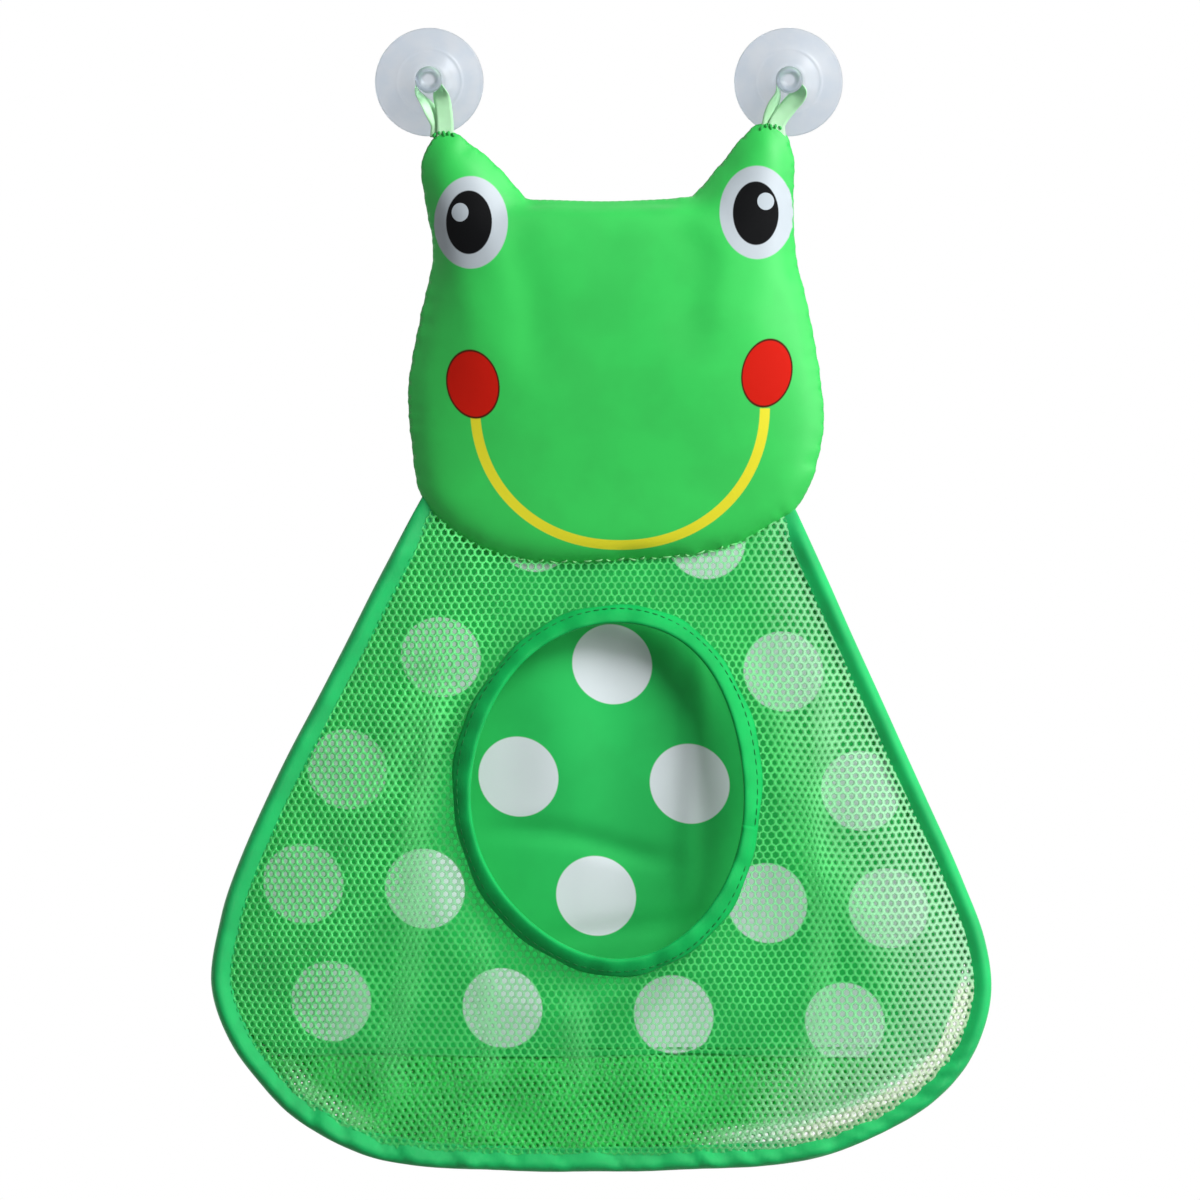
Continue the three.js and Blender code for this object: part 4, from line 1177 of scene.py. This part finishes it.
def backDepth(points):  # folds of the back cloth
    p = backCut
    x, z = points[:, 0], points[:, 1]
    spots = np.column_stack([x, z * 0.55, np.zeros(len(x))])
    y = p["waves"] * wander(spots, 30.0, 5)
    for way, at, slant, sway, width, begins, ends, height in p["folds"]:
        run, side = (x, z) if way == "across" else (z, x)
        off = side - at + slant * run + sway * np.sin(run / 15.0)
        y = y + height * (np.exp(-((off / width) ** 2)) * ease(run, *begins) * (1 - ease(run, *ends)))
    far = (points - p["slackAt"]) / p["slackSize"]
    slack = p["slack"] * np.exp(-(far[:, 0] ** 2) - far[:, 1] ** 2)
    inside = ease(insetOf(points, sheetEdge), *p["inside"])
    return pocket["backY"] + (np.clip(y, *p["foldWithin"]) + p["sag"] - slack) * inside


def drainLine(x):  # where the cloth ends and the drain net begins, which runs up beside the right edge
    right = drain["rightRise"] * ease(x, *drain["rightWithin"])
    return drain["z"] + right + drain["leftRise"] * ease(-x, *drain["leftWithin"])


def drainTop(x):  # it laps over the cloth's hem
    return drainLine(x) + drain["lap"]


def makeBack():
    ring = sheetEdge[sheetEdge[:, 1] >= drainLine(sheetEdge[:, 0])]
    cutAt = int(np.argmax(steps(ring))) + 1
    x = np.linspace(ring[cutAt - 1, 0], ring[cutAt, 0], 120)[1:-1]
    hem = np.column_stack([x, drainLine(x) + 0.7 * np.sin(x / 23.0)])
    loop = spaced(np.vstack([ring[:cutAt], hem, ring[cutAt:]]), backCut["spacing"], closed=True)
    flat, faces = flatPatch(loop, backCut["spacing"])
    points = lifted(flat, backDepth(flat))
    piece = makePiece("back_cloth", points, faces, dottedCloth)
    thicken(piece, backCut["thickness"])
    smoothen(piece)
    hangFromHead(piece, "back_panel")
    cutArea(loop)


def drainPlace(flat):
    points = lifted(flat + [0, drain["middleZ"]], drain["y"])
    inset = sheetInset(points)
    outside = (inset < 0.2) | (points[:, 2] > drainTop(points[:, 0]))
    points[:, 1] += drain["belly"] * ease(inset, 3, 25) * (1 + wander(points, 24.0, 8))
    below = ease(drainLine(points[:, 0]) - points[:, 2], 0, 25)
    sewn = backDepth(points[:, [0, 2]]) + drain["behind"]
    points[:, 1] = sewn + (points[:, 1] - sewn) * below
    return points, outside


def drainOpen(points):
    share = (drain["open"] + drain["openPale"] * crescent(points))[:, None, None]
    return share, share


makeBack()
# the drain yarn is painted pale along the crescent too, as painted light
drainNet, drainCells = hexNet("drain_net", drain, drainPlace, drainOpen, {"pale": crescent}, drainYarn)
hangFromHead(drainNet, "drain_mesh")
drainCut = cutBelow(sheetEdge, drainTop, 120)
drainSize, drainArea = cutSize(drainCut), cutArea(drainCut)
print("back made, drain net with", drainCells, "holes")

drainSeam = {"z": -446.0, "pitch": 4.6, "length": 3.2, "thread": 0.6, "margin": 10.0, "proud": 0.45}


def makeDrainStitches():
    p = drainSeam
    reach = sheetEdge[np.abs(sheetEdge[:, 1] - p["z"]) < 3, 0]
    xs = np.arange(reach.min() + p["margin"], reach.max() - p["margin"], p["pitch"])

    def onSeam(x):
        flat = np.column_stack([x, np.full(len(x), p["z"])])
        return lifted(flat, backDepth(flat) - p["proud"])

    sewOnBag("drain_stitches", onSeam, xs, p["length"], p["thread"], darkThread, "drain_seam_thread")


makeDrainStitches()


# tape round the mouth

mouthTape = {
    "section": [  # out from the rim and off the net, folded over it
        (8.2, -0.8), (7.2, -1.5), (5.4, -2.3), (3.2, -2.6), (1.2, -2.1), (0.15, -0.9),
        (0.15, 0.9), (1.2, 1.8), (3.2, 2.0), (5.4, 1.8), (7.2, 1.4), (8.2, 1.0),
    ],
    "jointAngle": -21.0,
    "overlap": 9.0,  # degrees by which the end laps over the start
    "lapLift": 1.1,
    "steps": 300,
    "thickness": 0.45,
    "stitchOut": 6.2,
    "stitchProud": 2.2,
    "pitch": 4.2,
    "stitch": 2.9,
    "stitchRadius": 72.0,  # turns a stitch's length into an angle
    "thread": 0.6,
}


def mouthWaves(angle):  # the tape is a little uneven
    return 0.35 * np.sin(13 * angle) + 0.25 * np.sin(29 * angle + 2)


def mouthFrame(angle, out, off):  # point on the tape
    flat = mouthPoint(angle, out)
    return np.stack([flat[..., 0], mouthY(flat[..., 1]) + rimDrop(out) + off, flat[..., 1]], -1)


def makeMouthTape():
    p = mouthTape
    start = math.radians(p["jointAngle"])
    turn = np.linspace(0, 2 * math.pi + math.radians(p["overlap"]), p["steps"])
    section = spline(p["section"], 0.8)
    lapFrom, lapTo = (turn[-1] - math.radians(share * p["overlap"]) for share in (1.6, 1))
    lap = p["lapLift"] * ease(turn, lapFrom, lapTo)
    rows = []
    for k, angle in enumerate(start + turn):
        out = section[:, 0] * (1 + 0.05 * math.sin(7 * angle) + 0.04 * math.sin(17 * angle + 1))
        out = out - 0.5 * math.sin(5 * angle) * (1 - section[:, 0] / 8)
        off = section[:, 1] * (1 + 0.35 * lap[k]) + mouthWaves(angle)
        rows.append(mouthFrame(np.full(len(out), angle), out, off))
    piece = makePiece("mouth_tape", *skin(np.array(rows)), mouthWeave)
    thicken(piece, p["thickness"])
    hangFromHead(piece, "mouth_binding")
    length = steps(np.array(rows).mean(1)).sum() * mm
    width = steps(section).sum() * mm
    around = start + np.linspace(0, 2 * math.pi, int(length / mm / p["pitch"]))[:-1]
    length = p["stitch"] / p["stitchRadius"]

    def onTape(angle):
        out = np.full(len(angle), p["stitchOut"])
        return mouthFrame(angle, out, mouthWaves(angle) - p["stitchProud"])

    sewOnBag("mouth_stitches", onTape, around, length, p["thread"], mouthThread, "mouth_stitch_thread")


makeMouthTape()
print("mouth tape made")


# rolled tape round the edge

edgeTape = {
    "section": [  # outwards from the middle and off the plane, from the front lip round to the back one
        (-5.2, -1.5), (-4.2, -1.8), (-2.8, -2.3), (-1.0, -3.1), (1.0, -3.8), (2.6, -3.5), (3.8, -2.1),
        (4.25, 0.0), (3.7, 2.1), (2.4, 3.4), (0.6, 3.9), (-1.2, 3.5), (-2.8, 2.7), (-4.2, 2.0), (-5.2, 1.7),
    ],
    "thickness": 0.5,
    "low": (455, 492),  # the tape lies flatter along the bottom
    "lowWidth": 1.22,
    "lowDepth": 0.8,
    "endDepth": 0.28,  # pressed flat where it is sewn into the head
    "endWithin": (8, 30),
    "intoHead": 9.0,
    "pucker": 0.6,
    "fold": 2.4,  # short slanting folds where the tape is drawn together
    "drawn": (405, 475),
    "slant": 1.1,
    "cord": 2.0,
    "cordOut": 1.0,
    "cordSides": 12,
    "stitchIn": -4.0,
    "stitchProud": 0.25,
    "pitch": 4.6,
    "stitch": 3.1,
    "thread": 0.6,
}


def edgeFrame(line):  # run along the tape, how low it lies, and its ripples and drift
    along = runOf(line)
    low = ease(-line[:, 1], *edgeTape["low"])
    spots = lifted(line, 0.0)
    ripple = wander(spots, 14.0, 11) + 0.6 * wander(spots, 6.0, 12)
    drift = wander(spots, 34.0, 13)
    return along, low, ripple, drift


def makeEdgeTape():
    p = edgeTape
    keep = edgeLine[:, 1] < seamZ(edgeLine[:, 0]) + p["intoHead"]
    line, out = edgeLine[keep], edgeOut[keep]
    along, low, ripple, drift = edgeFrame(line)
    section = spline(p["section"], 1.0)
    lip = ease(-section[:, 0], -1.0, 5.0)
    free = ease(np.minimum(along, along[-1] - along), *p["endWithin"])
    drawn = ease(-line[:, 1], *p["drawn"])
    rows = []
    for k in range(len(line)):
        wide = 1 + (p["lowWidth"] - 1) * low[k]
        flat = (1 + (p["lowDepth"] - 1) * low[k]) * (p["endDepth"] + (1 - p["endDepth"]) * free[k])
        pucker = p["pucker"] * (1 + 2.4 * low[k]) * ripple[k]
        across = section[:, 0] * np.where(section[:, 0] < 0, wide, 1) + lip * pucker * 0.8
        across += (0.35 + 0.5 * low[k]) * drift[k]
        depth = section[:, 1] * flat * (1 + 0.05 * drift[k]) - 0.75 * pucker * np.abs(section[:, 1]) / 3.9
        slanted = np.column_stack([along[k] + p["slant"] * section[:, 0], 0 * section])
        folds = 0.3 - np.abs(wander(slanted, 10.0, 14))
        y = pocket["backY"] + depth + 0.3 * drift[k] * low[k] + p["fold"] * drawn[k] * folds
        flatPlace = line[k] + across[:, None] * out[k]
        rows.append(lifted(flatPlace, y))
    rows = np.array(rows)
    piece = makePiece("edge_tape", *skin(rows), edgeWeave)
    thicken(piece, p["thickness"], -1.0)
    hangFromHead(piece, "edge_binding")
    flatSize = (float(steps(section).sum() * mm), float(along[-1] * mm))
    makeFiller(line[10:-10], out[10:-10])
    makeEdgeStitches(rows, section, along)


def makeFiller(line, out):
    p = edgeTape
    middle = line + p["cordOut"] * out
    sides = p["cordSides"]
    angles = circle(sides)
    rings = []
    for k, (spot, way) in enumerate(zip(middle, out)):
        size = p["cord"] * (0.93 + 0.07 * np.cos(3 * angles + 0.9 * k))
        flat = spot + (size * np.cos(angles))[:, None] * way
        rings.append(lifted(flat, pocket["backY"] + size * np.sin(angles)))
    points, faces = skin(np.array(rings), around=True)
    last = len(points) - sides
    faces += [tuple(range(sides)), tuple(range(last, last + sides))]
    piece = makePiece("edge_filler", points, faces, whiteFiller)
    turnOutwards(piece)
    hangFromHead(piece, "edge_cord")


def makeEdgeStitches(rows, section, along):
    p = edgeTape
    at = int(np.argmin(np.where(section[:, 1] < 0, np.abs(section[:, 0] - p["stitchIn"]), 99)))
    line = rows[:, at] - [0, p["stitchProud"], 0]
    begin = np.arange(3.0, along[-1] - 6.0, p["pitch"])

    def onTape(run):
        return np.column_stack([np.interp(run, along, line[:, k]) for k in range(3)])

    sewOnBag("edge_stitches", onTape, begin, p["stitch"], p["thread"], tapeThread, "edge_stitch_thread")


makeEdgeTape()
print("edge tape made")


# floor, light and camera

studio = {
    "floorZ": -0.62,
    "floorSize": 0.75,
    "floorY": -0.5,
    "floorTint": (0.86, 0.86, 0.86, 1),
    "floorDull": (0.2, 0.2, 0.2, 1),  # little light comes up from it
    "floorGlow": 0.6,
    "white": (1.0, 1.0, 1.0, 1.0),
    "fill": 0.22,
    "backFill": 0.5,  # from behind
    "lamps": {
        "key": {"from": (1.42, -1.25, 1.2), "at": (0.0, 0.0, -0.25), "size": 1.0, "power": 57.0},
        "side": {"from": (1.5, -0.8, -0.05), "at": (0.0, 0.0, -0.3), "size": 0.7, "power": 13.5},
    },
    "lens": 250.0,
    "eye": (-0.0041, -3.853, -0.2394),
}


def backgroundRays(finish):  # 1 for what the camera sees, also by gloss and through clear pieces
    rays = finish.node("ShaderNodeLightPath")
    seen = finish.sum("MAXIMUM", rays, rays.other("Is Glossy Ray"))
    return finish.sum("MAXIMUM", seen, rays.other("Is Transmission Ray"))


def makeFloor():
    where = (0, studio["floorY"], studio["floorZ"])
    size = studio["floorSize"]
    bpy.ops.mesh.primitive_circle_add(vertices=96, radius=size, fill_type="NGON", location=where)
    floor = bpy.context.object
    floor.name = "floor"
    finish = newFinish("pale floor")
    dull = finish.node("ShaderNodeBsdfDiffuse", sockets={"Color": studio["floorDull"]})
    pale = {"Base Color": studio["floorTint"], "Roughness": 0.7}
    paint = finish.node("ShaderNodeBsdfPrincipled", sockets=pale)
    glow = finish.node("ShaderNodeEmission", sockets={"Color": studio["white"], "Strength": 1.0})
    seen = finish.node("ShaderNodeMixShader", sockets={0: studio["floorGlow"], 1: paint, 2: glow})
    top = finish.node("ShaderNodeMixShader", sockets={0: backgroundRays(finish), 1: dull, 2: seen})
    under = finish.node("ShaderNodeNewGeometry", out="Backfacing")  # seen from below the floor is clear
    clear = finish.node("ShaderNodeBsdfTransparent")
    finish.show(finish.node("ShaderNodeMixShader", sockets={0: under, 1: top, 2: clear}))
    floor.data.materials.append(finish.owner)


def makeLight():
    world = bpy.data.worlds.new("studio")
    bpy.context.scene.world = world
    sky = Finish(world)
    course = sky.node("ShaderNodeSeparateXYZ", sockets={0: sky.node("ShaderNodeTexCoord", out="Generated")})
    fill = studio["fill"] + (studio["backFill"] - studio["fill"]) * course.other("Y").soft(0.0, 0.9)
    strength = sky.sum("MAXIMUM", fill, backgroundRays(sky))
    sky.show(
        sky.node("ShaderNodeBackground", sockets={"Color": studio["white"], "Strength": strength}),
        "ShaderNodeOutputWorld",
    )
    for name, p in studio["lamps"].items():
        lamp = bpy.data.lights.new(name, "AREA")
        lamp.shape = "DISK"
        lamp.size = p["size"]
        lamp.energy = p["power"]
        holder = addObject(name, lamp)
        holder.location = p["from"]
        holder.rotation_euler = (Vector(p["at"]) - Vector(p["from"])).to_track_quat("-Z", "Y").to_euler()


def makeCamera():
    lens = bpy.data.cameras.new("photo view")
    lens.lens = studio["lens"]
    lens.sensor_width = 36.0
    camera = addObject("photo view", lens)
    camera.location = studio["eye"]
    camera.rotation_euler = (math.pi / 2, 0, 0)
    bpy.context.scene.camera = camera
    bpy.context.scene.view_settings.view_transform = "Standard"


makeFloor()
makeLight()
makeCamera()
print("studio made")
